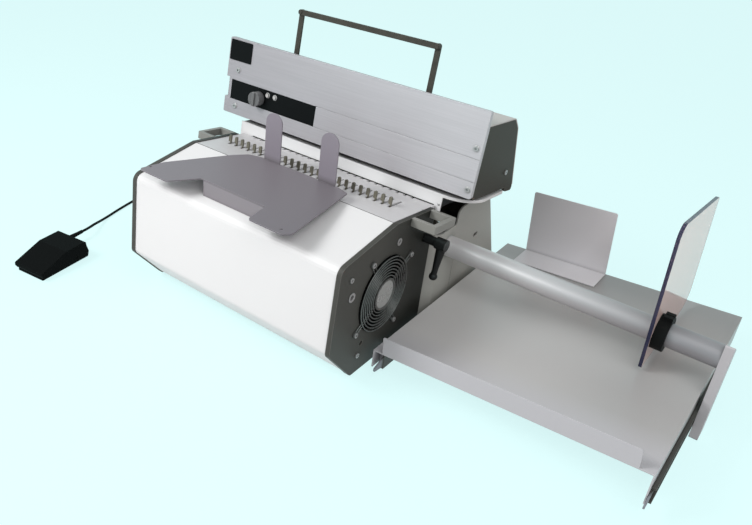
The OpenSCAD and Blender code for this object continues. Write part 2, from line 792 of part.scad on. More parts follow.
module right_side_panel() {
    hole_y = [424, 432];
    hole_z = 118;
    hole_r = 4;
    seam_y = [351.5, 352.5];
    seam_z = [floor_top, tube_z - 2 * tube_r];
    seam_x = rear_half - cut;
    x0 = rear_in - cut;
    x1 = rear_half + cut;
    color(olive) place() difference() {
        side_panel();
        rod_x(x0, x1, tube_y, tube_z, tube_r);
        for (y = hole_y) rod_x(x0, x1, y, hole_z, hole_r);
        box([x0, hole_y[0], hole_z - hole_r], [x1, hole_y[1], hole_z + hole_r]);
        box([seam_x, seam_y[0], seam_z[0]], [x1, seam_y[1], seam_z[1]]);
    }
}

module bulkhead() {
    pts = [[wall_y[0], floor_top], [wall_y[1], floor_top], [wall_y[1], plane_z(wall_y[1], die_z[0])],
        [wall_y[0], plane_z(wall_y[0], die_z[0])]];
    half = rear_half - bend[0] + 5;
    color(warm_grey) place() prism_x(-half, half, pts);
}

module rear_cover() {
    front = tl(die_y[1] + slide_gap, shoulder_off);
    path = [[rear_y, floor_top], [rear_y, rear_knee_z], [rear_top_y, rear_top_z], front];
    window = drawer_half + 2;
    window_y = 480;
    window_top = drawer_top + 2.5;
    color(olive) place() difference() {
        prism_x(-rear_in, rear_in, sheet(path, sheet_t));
        box([-window, window_y, floor_top - cut], [window, rear_y + cut, window_top]);
    }
}

module chip_drawer() {
    low = floor_top + 1;
    t = 3;
    slope = (rear_y - rear_top_y) / (rear_top_z - rear_knee_z);
    lip = rear_y - (drawer_top - rear_knee_z) * slope;
    y0 = drawer_y0;
    y1 = rear_y;
    shell = [[y0, low], [y1, low], [y1, rear_knee_z], [lip, drawer_top], [y0, drawer_top]];
    inside = [[y0 + t, low + t], [y1 - t, low + t], [y1 - t, rear_knee_z], [lip - t, drawer_top],
        [lip - t, drawer_top + cut], [y0 + t, drawer_top + cut]];
    pull = [45, 8, 4];
    pull_z = 19;
    color(warm_grey) place() union() {
        difference() {
            prism_x(-drawer_half, drawer_half, shell);
            prism_x(-drawer_half + t, drawer_half - t, inside);
        }
        box([-pull[0], y1 - cut, pull_z], [pull[0], y1 + pull[1], pull_z + pull[2]]);
    }
}

module die_block() {
    pts = [[die_y[0], die_z[0]], [die_y[1], die_z[0]], [die_y[1], throat_top], [die_ridge, throat_top],
        [die_ridge, die_z[1]], [die_y[0], die_z[1]]];
    color(steel) place() tilted() difference() {
        prism_x(-die_half, die_half, pts);
        for (i = [0:hooks - 1]) pin_slot(i, die_z[0] - cut, die_z[1] + cut);
    }
}

// The hole in the die or in the punch frame for punch pin i, between two heights
module pin_slot(i, z0, z1) {
    w = pin_w / 2 + pin_gap;
    t = pin_t / 2 + pin_gap;
    box([hook_x(i) - w, pin_y - t, z0], [hook_x(i) + w, pin_y + t, z1]);
}

module inlet_socket() {
    y = inlet_at[0];
    z = inlet_at[1];
    x0 = -rear_half - 3;
    floor_x = x0 + 18;
    back_x = -rear_half + 26;
    flange = [24, 14];
    mouth = [12, 8];
    pins = [[-7, 0], [7, 0], [0, 4]];
    pin = [13, 2, 1];
    w = inlet_body[0];
    h = inlet_body[1];
    color(black) place() union() {
        difference() {
            union() {
                box([x0, y - flange[0], z - flange[1]], [-rear_half, y + flange[0], z + flange[1]]);
                box([-rear_half - cut, y - w, z - h], [back_x, y + w, z + h]);
            }
            box([x0 - cut, y - mouth[0], z - mouth[1]], [floor_x, y + mouth[0], z + mouth[1]]);
        }
        for (p = pins) translate([floor_x, y + p[0], z + p[1]]) box(-pin, [cut, pin[1], pin[2]]);
    }
}

module cable_gland() {
    nut_r = 9;
    nut_h = 4;
    thread_l = 8;
    boot_r = [6.5, 3.4];
    color(black) place() translate([-rear_half, gland_at[0], gland_at[1]]) rotate([0, -90, 0]) union() {
        translate([0, 0, -thread_l]) cylinder(h = thread_l + cut, r = gland_r);
        cylinder(h = nut_h, r = nut_r, $fn = 6);
        translate([0, 0, nut_h - cut]) cylinder(h = gland_l - nut_h + cut, r1 = boot_r[0], r2 = boot_r[1]);
    }
}

// Head

module head_plate() {
    notch = 7.5;
    notch_z = strip_z + [2, 3];
    groove = [1.2, 0.8];
    round = 3;
    top = plate_z + plate_h;
    pts = [[head_x0, plate_z], [head_x1, plate_z], [head_x1, top], [head_x0, top]];
    color(silver) place() tilted() difference() {
        prism_y(plate_y, plate_back, rounded(pts, round, 4));
        box([head_x0 - cut, plate_y - cut, notch_z[0]], [head_x0 + notch, plate_back + cut, notch_z[1]]);
        box([strip_x[0], plate_y - cut, strip_z[0]], [strip_x[1], plate_y + strip_t, strip_z[1]]);
        for (z = strip_z) box([strip_x[1] - cut, plate_y - cut, z - groove[0] / 2],
            [head_x1 + cut, plate_y + groove[1], z + groove[0] / 2]);
        for (s = head_screws) rod_y(s[0], plate_y - cut, plate_back + cut, plate_z + s[1], screw_hole_r);
        control_holes();
    }
}

// Holes for the knob's spindle and the two buttons
module control_holes() {
    rod_y(knob_at[0], plate_y - cut, plate_back + cut, knob_at[1], knob_spindle_r + fit_gap);
    for (x = button_x) rod_y(x, plate_y - cut, plate_back + cut, button_z, button_r + fit_gap);
}

module control_strip() {
    gap = 0.1;
    x = strip_x + [gap, -gap];
    z = strip_z + [gap, -gap];
    color(black) place() tilted() difference() {
        box([x[0], plate_y, z[0]], [x[1], plate_y + strip_t, z[1]]);
        control_holes();
    }
}

module selector_knob() {
    skirt = 0.4;
    rib = [5, 3];
    front = plate_y - skirt - knob_h;
    half = knob_r - 1;
    color(silver) place() tilted() translate([knob_at[0], 0, knob_at[1]]) union() {
        rod_y(0, front, plate_y - skirt, 0, knob_r);
        rod_y(0, plate_y - skirt - cut, plate_back + 2, 0, knob_spindle_r);
        box([-rib[0] / 2, front - rib[1], -half], [rib[0] / 2, front + cut, half]);
    }
}

// A push button at x, proud of the plate by more than its travel
module push_button(x) {
    proud = button_travel + 1.2;
    color(pale) place() tilted() rod_y(x, plate_y - proud, plate_back + 1, button_z, button_r);
}

module start_button() { push_button(button_x[0]); }
module reverse_button() { push_button(button_x[1]); }

module power_switch() {
    gap = 1;
    proud = 3;
    y = switch_y + [gap, -gap];
    z = switch_z + [gap, -gap];
    mid = (z[0] + z[1]) / 2;
    face = [[head_x0 - proud, z[0]], [head_x0 - proud / 3, mid], [head_x0 - proud, z[1]],
        [head_x0 + cap_t, z[1]], [head_x0 + cap_t, z[0]]];
    color(black) place() tilted() union() {
        prism_y(y[0], y[1], face);
        rod_y(switch_pin_x, switch_pin_y[0] + fit_gap, switch_pin_y[1] - fit_gap, mid, switch_pin_r);
    }
}

// An end cap of the head between x0 and x1
module head_cap(x0, x1) {
    prism_x(x0, x1, rounded(cap_pts, cap_radii, 5));
}

module head_left_cap() {
    mid = (switch_z[0] + switch_z[1]) / 2;
    color(olive) place() tilted() difference() {
        head_cap(head_x0, head_in0);
        box([head_x0 - cut, switch_y[0], switch_z[0]], [head_in0 + cut, switch_y[1], switch_z[1]]);
        rod_y(switch_pin_x, switch_pin_y[0], switch_pin_y[1], mid, switch_pin_r + fit_gap);
        rod_x(head_x0 - cut, head_in0 + cut, cap_screw[0], cap_screw[1], screw_hole_r);
    }
}

module head_right_cap() {
    color(olive) place() tilted() difference() {
        head_cap(head_in1, head_x1);
        rod_x(head_in1 - cut, head_x1 + cut, cap_screw[0], cap_screw[1], screw_hole_r);
    }
}

module head_cover() {
    round = 10;
    color(pale) place() tilted() prism_x(head_x0, head_x1, sheet(rounded_path(cover_pts, round), sheet_t));
}

module punch_frame() {
    pts = [[plate_back, throat_top], [shelf_back, throat_top], [shelf_back, shelf_top],
        [frame_back, shelf_top], [frame_back, frame_top], [plate_back, frame_top]];
    color(steel) place() tilted() difference() {
        prism_x(head_in0, head_in1, pts);
        for (i = [0:hooks - 1]) pin_slot(i, throat_top - cut, frame_top + cut);
    }
}

module punch_beam() {
    half = 186;
    y = [132, 184];
    z = [pin_z[1], pin_z[1] + 18];
    prong = [5, 126];
    wide = 8;
    color(steel) place() tilted() union() {
        box([-half, y[0], z[0]], [half, y[1], z[1]]);
        for (x = [-eccentric_x, eccentric_x], p = [y[0], y[1] - prong[0]])
            box([x - wide, p, z[1] - cut], [x + wide, p + prong[0], prong[1]]);
    }
}

module punch_pins() {
    w = pin_w / 2;
    t = pin_t / 2;
    color(silver) place() tilted() for (i = [0:hooks - 1])
        translate([hook_x(i), pin_y, pin_z[0]]) box([-w, -t, 0], [w, t, pin_l]);
}

module eccentric_shaft() {
    end = 3;
    color(silver) place() tilted() translate([0, shaft_at[0], shaft_at[1]]) union() {
        rod_x(bearing_x[0] - end, pulley_x[1] + end, 0, 0, shaft_r);
        for (x = [-eccentric_x, eccentric_x])
            rod_x(x - eccentric_w / 2, x + eccentric_w / 2, 0, eccentric_throw, eccentric_r);
    }
}

module shaft_bearings() {
    half = 20;
    top = 18;
    color(warm_grey) place() tilted() for (x = bearing_x) difference() {
        box([x, shaft_at[0] - half, frame_top], [x + bearing_w, shaft_at[0] + half, shaft_at[1] + top]);
        rod_x(x - cut, x + bearing_w + cut, shaft_at[0], shaft_at[1], shaft_r + fit_gap);
    }
}

module shaft_pulley() {
    color(silver) place() tilted() difference() {
        rod_x(pulley_x[0], pulley_x[1], shaft_at[0], shaft_at[1], pulley_r);
        rod_x(pulley_x[0] - cut, pulley_x[1] + cut, shaft_at[0], shaft_at[1], shaft_r);
    }
}

module drive_motor() {
    foot = [15, 22, 14];
    y = motor_at[0];
    x0 = motor_x[0] + foot[0];
    x1 = motor_x[1] - foot[0];
    color(warm_grey) place() tilted() difference() {
        union() {
            rod_x(motor_x[0], motor_x[1], y, motor_at[1], motor_r);
            box([x0, y - foot[1], shelf_top], [x1, y + foot[1], shelf_top + foot[2]]);
        }
        rod_x(spindle_x - cut, motor_x[1] + cut, y, motor_at[1], motor_shaft_r + fit_gap);
    }
}

module motor_pulley() {
    color(silver) place() tilted() union() {
        rod_x(pulley_x[0], pulley_x[1], motor_at[0], motor_at[1], motor_pulley_r);
        rod_x(spindle_x, pulley_x[1], motor_at[0], motor_at[1], motor_shaft_r);
    }
}

module drive_belt() {
    inset = 2;
    x = pulley_x + [inset, -inset];
    r1 = pulley_r + belt_gap;
    r2 = motor_pulley_r + belt_gap;
    color(black) place() tilted() difference() {
        prism_x(x[0], x[1], belt(shaft_at, r1 + belt_t, motor_at, r2 + belt_t));
        prism_x(pulley_x[0], pulley_x[1], belt(shaft_at, r1, motor_at, r2));
    }
}

// Bail

// An upright bail bar at x with round ends and two pivot bores
module bail_bar(x, top_gap) {
    y0 = bail_bar_y[0];
    y1 = bail_bar_y[1];
    color(olive) place() tilted() difference() {
        union() {
            box([x - bail_w / 2, y0, bail_z], [x + bail_w / 2, y1, bail_z + bail_h]);
            for (z = [bail_z, bail_z + bail_h]) rod_y(x, y0, y1, z, bail_w / 2);
        }
        rod_y(x, y0 - cut, y1 + cut, bail_z, bail_pin_r + fit_gap);
        rod_y(x, y0 - cut, y1 + cut, bail_z + bail_h, bail_pin_r + top_gap);
    }
}

module bail_left_bar() { bail_bar(bail_x0, fit_gap); }
module bail_right_bar() { bail_bar(bail_x1, open_pivot_gap); }

module bail_top_bar() {
    z = bail_z + bail_h;
    rivet = [3.4, 1];
    y0 = bail_top_y[0];
    y1 = bail_top_y[1];
    color(olive) place() tilted() union() {
        box([bail_x0, y0, z - bail_w / 2], [bail_x1, y1, z + bail_w / 2]);
        for (x = [bail_x0, bail_x1]) {
            rod_y(x, y0, y1, z, bail_w / 2);
            rod_y(x, y1 - cut, bail_bar_y[1] + slide_gap, z, bail_pin_r);
            rod_y(x, y0 - rivet[1], y0 + cut, z, rivet[0]);
        }
    }
}

module bail_lugs() {
    half = 5.5;
    top = bail_z + 4;
    y0 = bail_lug_y[0];
    y1 = bail_lug_y[1];
    color(pale) place() tilted() for (x = [bail_x0, bail_x1]) union() {
        box([x - half, y0, cover_top], [x + half, y1, top]);
        rod_y(x, bail_bar_y[0] - slide_gap / 2, y0 + cut, bail_z, bail_pin_r);
    }
}

// Stacker

module stacker_tube() {
    wall = 3;
    inner = 205;
    color(silver) place() difference() {
        rod_x(inner, post_x, tube_y, tube_z, tube_r);
        rod_x(inner - cut, post_x + cut, tube_y, tube_z, tube_r - wall);
    }
}

module end_post() {
    outline = [[post_y[0], 0], [post_y[1], 0], [post_y[1], post_top - post_fall], [post_y[0], post_top]];
    color(pale) place() prism_x(post_x, post_x + post_w, rounded(outline, [3, 3, 4, 2], 4));
}

// A blade at the front end of a slide, between x0 and x1 and two heights, with a narrow tip
module slide_tip(x0, x1, z) {
    y0 = 83;
    y1 = rail_y[0] + 4;
    outline = [[y0, z[0] + 4], [y1, z[0]], [y1, z[1]], [y0, z[0] + 10]];
    prism_x(x0, x1, rounded(outline, 2, 4));
}

module slide_rails() {
    foot = 3;
    x0 = slide_x[0];
    x1 = slide_x[1] - slide_web;
    x2 = slide_x[1];
    low = slide_z[0];
    high = slide_z[1];
    left = [[x0, low], [x2, low], [x2, high], [x0, high], [x0, high - slide_lip], [x1, high - slide_lip],
        [x1, low + slide_lip], [x0, low + slide_lip]];
    ledge = tray_x1 - 8;
    web = 1.6;
    x3 = tray_x1 + slide_gap;
    x4 = x3 + web;
    z0 = rail_z[0];
    z1 = rail_z[1];
    right = [[x3, z0], [post_x, z0], [post_x, z0 + rail_t], [x4, z0 + rail_t], [x4, z1 - rail_t],
        [post_x, z1 - rail_t], [post_x, z1], [x3, z1]];
    tip = 2.4;
    inset = 4;
    color(silver) place() union() {
        prism_y(rail_y[0], rail_y[1], left);
        box([rear_half, rail_foot_y, low - foot], [x2, rail_y[1], low + cut]);
        slide_tip(x1, x1 + tip, slide_z + [inset, -inset]);
        prism_y(rail_y[0], rail_y[1], right);
        box([ledge, rail_foot_y, z0], [x3 + cut, rail_y[1], z0 + rail_t]);
        slide_tip(x3, x3 + tip, rail_z + [inset, -inset]);
    }
}

module stacker_tray() {
    t = sheet_t;
    right_low = rail_z[0] + rail_t + slide_gap;
    left_low = slide_z[0] + rail_t;
    path = [[tray_x1, right_low], [tray_x1, tray_z + tray_rise], [tray_x, tray_z], [tray_x, left_low]];
    lip_x = [16, 397.5];
    lip_h = 29;
    lip = [[lip_x[0], -t / 2], [lip_x[1], -t / 2], [lip_x[1], lip_h], [lip_x[0], lip_h]];
    runner_x = [tray_x + cut, slide_x[1] - slide_web - slide_gap];
    runner_z = slide_z + (slide_lip + slide_gap) * [1, -1];
    runner = [[runner_x[0], runner_z[0]], [runner_x[1], runner_z[0]], [runner_x[1], runner_z[1]],
        [runner_x[0], runner_z[1]]];
    runner_y = [tray_y + 20, tray_y1 - 10];
    color(pale) place() union() {
        prism_y(tray_y, tray_y1, sheet(path, t));
        on_tray() prism_y(tray_y, tray_y + t, rounded(lip, [0, 0, 4, 2]));
        prism_y(runner_y[0], runner_y[1], runner);
    }
}

module back_guide() {
    x = [40, 192];
    foot = 60;
    h = 122.5;
    t = 1.6;
    y = tray_y1 - 3;
    low = 0.4;
    wall = [[x[0], low], [x[1], low], [x[1], h], [x[0], h]];
    color(pale) place() on_tray() union() {
        box([x[0], y - foot, low], [x[1], y, low + t]);
        prism_y(y - t, y, rounded(wall, [0, 0, 3, 3], 3));
    }
}

module clear_stop() {
    color([0.86, 0.82, 0.82, 0.5]) place() difference() {
        prism_x(stop_x, stop_x + stop_t, rounded(stop_pts, stop_radii, 6));
        rod_x(stop_x - cut, stop_x + stop_t + cut, tube_y, tube_z, tube_r + 2 * fit_gap);
    }
}

module stop_collar() {
    x0 = stop_x + stop_t;
    x1 = x0 + collar_w;
    split = 1;
    ear = 9;
    ear_x = x0 + 4;
    ear_z = [tube_z + collar_r - 6, tube_z + collar_r + 4];
    color(black) place() difference() {
        union() {
            rod_x(x0, x1, tube_y, tube_z, collar_r);
            box([ear_x, tube_y - ear, ear_z[0]], [x1, tube_y + ear, ear_z[1]]);
        }
        rod_x(x0 - cut, x1 + cut, tube_y, tube_z, tube_r + 2 * fit_gap);
        box([x0 - cut, tube_y - split, tube_z], [x1 + cut, tube_y + split, ear_z[1] + cut]);
    }
}

// Foot pedal

module pedal_base() {
    half = 31;
    pts = [[-52, 0], [60, 0], [60, 5], [57, 31], [51.5, 31], [51.5, 8], [-52, 6]];
    ear_y = [20, 36];
    ear_z = [5, pedal_pin[1] + 6];
    ear_t = 5;
    pin_half = pedal_w / 2 - slide_gap;
    color(warm_grey) place() at_pedal() difference() {
        union() {
            prism_x(-half, half, pts);
            for (x = [-half, half - ear_t]) box([x, ear_y[0], ear_z[0]], [x + ear_t, ear_y[1], ear_z[1]]);
            rod_x(-pin_half, pin_half, pedal_pin[0], pedal_pin[1], pedal_pin_r);
        }
        rod_y(relief_at[0], relief_y[0] - cut, relief_y[1], relief_at[1], relief_r[0]);
    }
}

module pedal_treadle() {
    half = pedal_w / 2;
    shell = [[-52, 5], [57, 5], [pedal_back, 14], [51, 36], [4, 36], [pedal_front, 17], [pedal_front, 11]];
    inside = [[pedal_front + treadle_wall, 3], [pedal_back + cut, 3], [pedal_back + cut, 33.5], [4.5, 33.5],
        [pedal_front + treadle_wall, 15.2]];
    color(black) place() at_pedal() difference() {
        prism_x(-half, half, shell);
        prism_x(-half + treadle_wall, half - treadle_wall, inside);
        rod_x(-half - cut, half + cut, pedal_pin[0], pedal_pin[1], pedal_pin_r + fit_gap);
    }
}

module pedal_strain_relief() {
    sleeve = relief_y[1] - relief_y[0];
    boot = relief_y[2] - relief_y[1];
    color(black) place() at_pedal() translate([relief_at[0], 0, relief_at[1]]) rotate([-90, 0, 0]) union() {
        translate([0, 0, relief_y[0]]) cylinder(h = sleeve, r = relief_r[0]);
        translate([0, 0, relief_y[1]]) cylinder(h = boot, r1 = relief_r[0], r2 = relief_r[1]);
    }
}

// Cable

module cable_lead() {
    color(black) place() swept_tube(curve(lead_pts, 2), cable_r, tube_sides, coil_to_way, [1, 0, 0]);
}

module cable_coil() {
    total = length(curve(run_pts, 4)) + length(coil_p) + length(curve(lead_pts, 2));
    echo(str("least gap in the cable coil ", least_gap(coil_mid), " mm, cable length ", total, " mm"));
    color(black) place() swept_tube(coil_p, cable_r, coil_sides, coil_from_way, coil_to_way);
}

module cable_run() {
    color(black) place() swept_tube(curve(run_pts, 4), cable_r, tube_sides, relief_way, coil_from_way);
}

base_plate();
rubber_feet();
left_end_plate();
right_end_plate();
front_cover();
comb_table();
hook_rake();
lower_guide();
left_grip_loop();
right_grip_loop();
paper_rest();
fan_frame();
fan_rotor();
fan_guard();
machine_screws();
clamp_lever();
control_board();
left_side_panel();
right_side_panel();
bulkhead();
rear_cover();
chip_drawer();
die_block();
inlet_socket();
cable_gland();
head_plate();
control_strip();
selector_knob();
start_button();
reverse_button();
power_switch();
head_left_cap();
head_right_cap();
head_cover();
punch_frame();
punch_beam();
punch_pins();
eccentric_shaft();
shaft_bearings();
shaft_pulley();
drive_motor();
motor_pulley();
drive_belt();
bail_left_bar();
bail_right_bar();
bail_top_bar();
bail_lugs();
stacker_tube();
end_post();
slide_rails();
stacker_tray();
back_guide();
clear_stop();
stop_collar();
pedal_base();
pedal_treadle();
pedal_strain_relief();
cable_lead();
cable_coil();
cable_run();
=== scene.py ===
# Electric binding punch: camera, cable, materials, small fittings, floor and light.
import math
import bmesh
import bpy
from mathutils import Matrix, Vector


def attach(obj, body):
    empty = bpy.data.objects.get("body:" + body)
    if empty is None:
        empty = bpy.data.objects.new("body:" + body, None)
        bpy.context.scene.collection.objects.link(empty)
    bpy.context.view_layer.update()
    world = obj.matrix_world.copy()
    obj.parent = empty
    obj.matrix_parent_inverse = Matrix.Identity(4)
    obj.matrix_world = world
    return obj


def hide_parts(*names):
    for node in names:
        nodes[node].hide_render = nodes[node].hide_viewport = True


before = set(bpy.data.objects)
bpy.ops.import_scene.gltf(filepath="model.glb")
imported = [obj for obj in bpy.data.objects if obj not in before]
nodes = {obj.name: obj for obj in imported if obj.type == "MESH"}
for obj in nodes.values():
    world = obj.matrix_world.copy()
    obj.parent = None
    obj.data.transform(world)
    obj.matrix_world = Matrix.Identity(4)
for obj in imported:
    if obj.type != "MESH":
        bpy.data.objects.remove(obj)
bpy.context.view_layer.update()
scene = bpy.context.scene
print("frame loaded:", len(nodes), "nodes")

# The machine's own measures are in millimetres from the middle of its front face on the floor
mm = 0.001
middle = Vector((122.29919, 229.45533, 0))
tableEdge = (148, 241.5)
tilt = math.radians(7)


def machine(x, y, z):
    return (Vector((x, y, z)) - middle) * mm


def onTable(x, y, z):
    up = y * math.cos(tilt) + z * math.sin(tilt)
    rise = z * math.cos(tilt) - y * math.sin(tilt)
    return machine(x, tableEdge[0] + up, tableEdge[1] + rise)


# Camera
view = {
    "position": (0.582601, -0.987055, 0.7727), "azimuth": 37.8, "elevation": 28.45, "roll": 4.0,
    "focal": 774.0, "centre": (284.0, 227.3), "picture": (752, 525), "sensor": 36.0, "clip": (0.02, 30),
}


def makeCamera(v):
    azimuth, elevation, roll = (math.radians(v[k]) for k in ("azimuth", "elevation", "roll"))
    flat = math.cos(elevation)
    back = Vector((math.sin(azimuth) * flat, -math.cos(azimuth) * flat, math.sin(elevation)))
    right = (-back).cross(Vector((0, 0, 1))).normalized()
    up = right.cross(-back)
    turnedRight = math.cos(roll) * right + math.sin(roll) * up
    turnedUp = math.cos(roll) * up - math.sin(roll) * right
    width, height = v["picture"]
    data = bpy.data.cameras.new("camera")
    data.sensor_width = v["sensor"]
    data.lens = v["focal"] * v["sensor"] / width
    data.shift_x = (width / 2 - v["centre"][0]) / width
    data.shift_y = (v["centre"][1] - height / 2) / width
    data.dof.use_dof = False
    data.clip_start, data.clip_end = v["clip"]
    camera = bpy.data.objects.new("camera", data)
    scene.collection.objects.link(camera)
    turn = Matrix((turnedRight, turnedUp, back)).transposed().to_4x4()
    camera.matrix_world = Matrix.Translation(v["position"]) @ turn
    scene.camera = camera


makeCamera(view)
print("camera placed")

# Pedal cable: from the pedal's strain relief along the floor, two layers of coil, and up to its gland
cable = {
    "diameter": 5.2, "floorGap": 0.05, "pedal": (-380, -53), "pedalTurn": 7.5, "relief": (-22, 100, 18),
    "bare": [(-424, 72, 15), (-432, 88, 11.5), (-441, 107, 7), (-450, 130, 3.6)],
    "onFloor": [(-456, 150), (-461, 170), (-470, 214), (-477, 260), (-474, 308), (-456, 350), (-426, 384),
                (-392, 410)],
    "coilCentre": (-300, 440), "coilStep": 5.8, "coilInside": 19.5, "coilDip": 1.3, "coilStart": 135,
    "turns": 4, "pointsPerTurn": 24, "smoothSteps": 4, "leaveRelief": 12, "meetCoil": (36, 18), "leaveCoil": 10,
    "rise": [(-296, 487, 11), (-280, 491, 16), (-266, 490, 22), (-256, 490, 25)], "gland": (-244, 490, 25),
}


# An even curve through points
def smooth(points, steps):
    first = 2 * points[0] - points[1]
    last = 2 * points[-1] - points[-2]
    ends = [first, *points, last]
    made = []
    for a, b, c, d in zip(ends, ends[1:], ends[2:], ends[3:]):
        for j in range(steps):
            t = j / steps
            made.append(0.5 * (2 * b + (c - a) * t + (2 * a - 5 * b + 4 * c - d) * t ** 2
                               + (3 * b - a - 3 * c + d) * t ** 3))
    return made + [points[-1]]


def coilPoints(c):
    lower = c["turns"]
    up = lower + 0.5
    low = c["diameter"] / 2 + c["floorGap"]
    made = []
    for i in range(round((up + lower - 0.5) * c["pointsPerTurn"]) + 1):
        k = i / c["pointsPerTurn"]
        climb = min(1, max(0, (k - lower) * 2))
        spread = c["coilStep"] * (lower - k if k < lower else max(0, k - up))
        radius = c["coilInside"] + spread - c["coilDip"] * math.sin(math.pi * climb)
        angle = math.radians(c["coilStart"] - 360 * k)
        x = c["coilCentre"][0] + radius * math.cos(angle)
        y = c["coilCentre"][1] + radius * math.sin(angle)
        made.append(Vector((x, y, low + c["coilStep"] * climb)))
    return made


# Where the cable leaves the pedal's strain relief, and which way
def cableStart(c):
    turn = math.radians(c["pedalTurn"])
    x, y, z = c["relief"]
    px, py = c["pedal"]
    way = Vector((-math.sin(turn), math.cos(turn), 0))
    start = Vector((px + x * math.cos(turn) - y * math.sin(turn), py + x * math.sin(turn) + y * math.cos(turn), z))
    return start, way


def cablePoints(c):
    start, way = cableStart(c)
    low = c["diameter"] / 2 + c["floorGap"]
    coil = coilPoints(c)
    inWay = (coil[1] - coil[0]).normalized()
    outWay = (coil[-1] - coil[-2]).normalized()
    coil = [coil[0] - c["diameter"] * inWay, *coil, coil[-1] + c["diameter"] * outWay]
    run = [start, start + c["leaveRelief"] * way, *(Vector(p) for p in c["bare"])]
    run += [Vector((*p, low)) for p in c["onFloor"]]
    run += [*(coil[0] - gap * inWay for gap in c["meetCoil"]), coil[0]]
    lead = [coil[-1], coil[-1] + c["leaveCoil"] * outWay, *(Vector(p) for p in c["rise"]), Vector(c["gland"])]
    return smooth(run, c["smoothSteps"]) + coil[1:-1] + smooth(lead, c["smoothSteps"])


def makeCable(c):
    points = [machine(*p) for p in cablePoints(c)]
    data = bpy.data.curves.new("pedal_cable", "CURVE")
    data.dimensions = "3D"
    data.bevel_depth = 1.0  # the radius itself is on the points
    data.bevel_resolution = 4
    data.use_fill_caps = True
    spline = data.splines.new("POLY")
    spline.points.add(len(points) - 1)
    for place, p in zip(spline.points, points):
        place.co = (*p, 1)
        place.radius = c["diameter"] / 2 * mm
    spline.use_smooth = True
    piece = bpy.data.objects.new("pedal_cable", data)
    scene.collection.objects.link(piece)
    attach(piece, "machine")
    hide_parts("cable_run", "cable_coil", "cable_lead")
    length = sum((b - a).length for a, b in zip(points, points[1:]))
    return piece, points[0], length


pedalCable, cableExit, cableLength = makeCable(cable)
print("cable laid, length", round(cableLength, 3), "m")


# Shared shader effects, as node groups with named sockets
def makeGroup(name, inputs, outputs):
    group = bpy.data.node_groups.new(name, "ShaderNodeTree")
    for label, kind, value in inputs:
        socket = group.interface.new_socket(label, in_out="INPUT", socket_type=kind)
        socket.default_value = value
    for label, kind in outputs:
        group.interface.new_socket(label, in_out="OUTPUT", socket_type=kind)
    return group, group.nodes.new("NodeGroupInput"), group.nodes.new("NodeGroupOutput")


def addNode(tree, kind, links=None, **values):
    node = tree.nodes.new(kind)
    for key, value in values.items():
        setattr(node, key, value)
    for socket, source in (links or {}).items():
        if isinstance(source, bpy.types.NodeSocket):
            tree.links.new(source, node.inputs[socket])
        else:
            node.inputs[socket].default_value = source
    return node


floatKind, colorKind, vectorKind = "NodeSocketFloat", "NodeSocketColor", "NodeSocketVector"
grey = (0.5, 0.5, 0.5, 1)


def grainGroup():
    inputs = [("Scale", floatKind, 900.0), ("Depth", floatKind, 0.00003), ("Normal", vectorKind, (0, 0, 0))]
    group, start, end = makeGroup("fineGrain", inputs, [("Normal", vectorKind), ("Level", floatKind)])
    place = addNode(group, "ShaderNodeTexCoord")
    noise = addNode(group, "ShaderNodeTexNoise", {
        "Vector": place.outputs["Object"], "Scale": start.outputs["Scale"], "Detail": 3.0, "Roughness": 0.6})
    bump = addNode(group, "ShaderNodeBump", {
        "Height": noise.outputs["Fac"], "Distance": start.outputs["Depth"], "Strength": 1.0,
        "Normal": start.outputs["Normal"]})
    group.links.new(bump.outputs["Normal"], end.inputs["Normal"])
    group.links.new(noise.outputs["Fac"], end.inputs["Level"])
    return group


def patinaGroup():
    inputs = [("Color", colorKind, grey), ("Amount", floatKind, 0.06), ("Scale", floatKind, 9.0),
              ("Roughness", floatKind, 0.4), ("Spread", floatKind, 0.08)]
    group, start, end = makeGroup("softPatina", inputs, [("Color", colorKind), ("Roughness", floatKind)])
    place = addNode(group, "ShaderNodeTexCoord")
    cloud = addNode(group, "ShaderNodeTexNoise", {
        "Vector": place.outputs["Object"], "Scale": start.outputs["Scale"], "Detail": 5.0, "Roughness": 0.55})
    centred = addNode(group, "ShaderNodeMath", {0: cloud.outputs["Fac"], 1: 0.5}, operation="SUBTRACT")
    change = addNode(group, "ShaderNodeMath", {
        0: centred.outputs[0], 1: start.outputs["Amount"]}, operation="MULTIPLY")
    gain = addNode(group, "ShaderNodeMath", {0: change.outputs[0], 1: 1.0}, operation="ADD")
    shade = addNode(group, "ShaderNodeVectorMath", {
        0: start.outputs["Color"], "Scale": gain.outputs[0]}, operation="SCALE")
    rough = addNode(group, "ShaderNodeMath", {
        0: centred.outputs[0], 1: start.outputs["Spread"], 2: start.outputs["Roughness"]}, operation="MULTIPLY_ADD")
    group.links.new(shade.outputs["Vector"], end.inputs["Color"])
    group.links.new(rough.outputs[0], end.inputs["Roughness"])
    return group


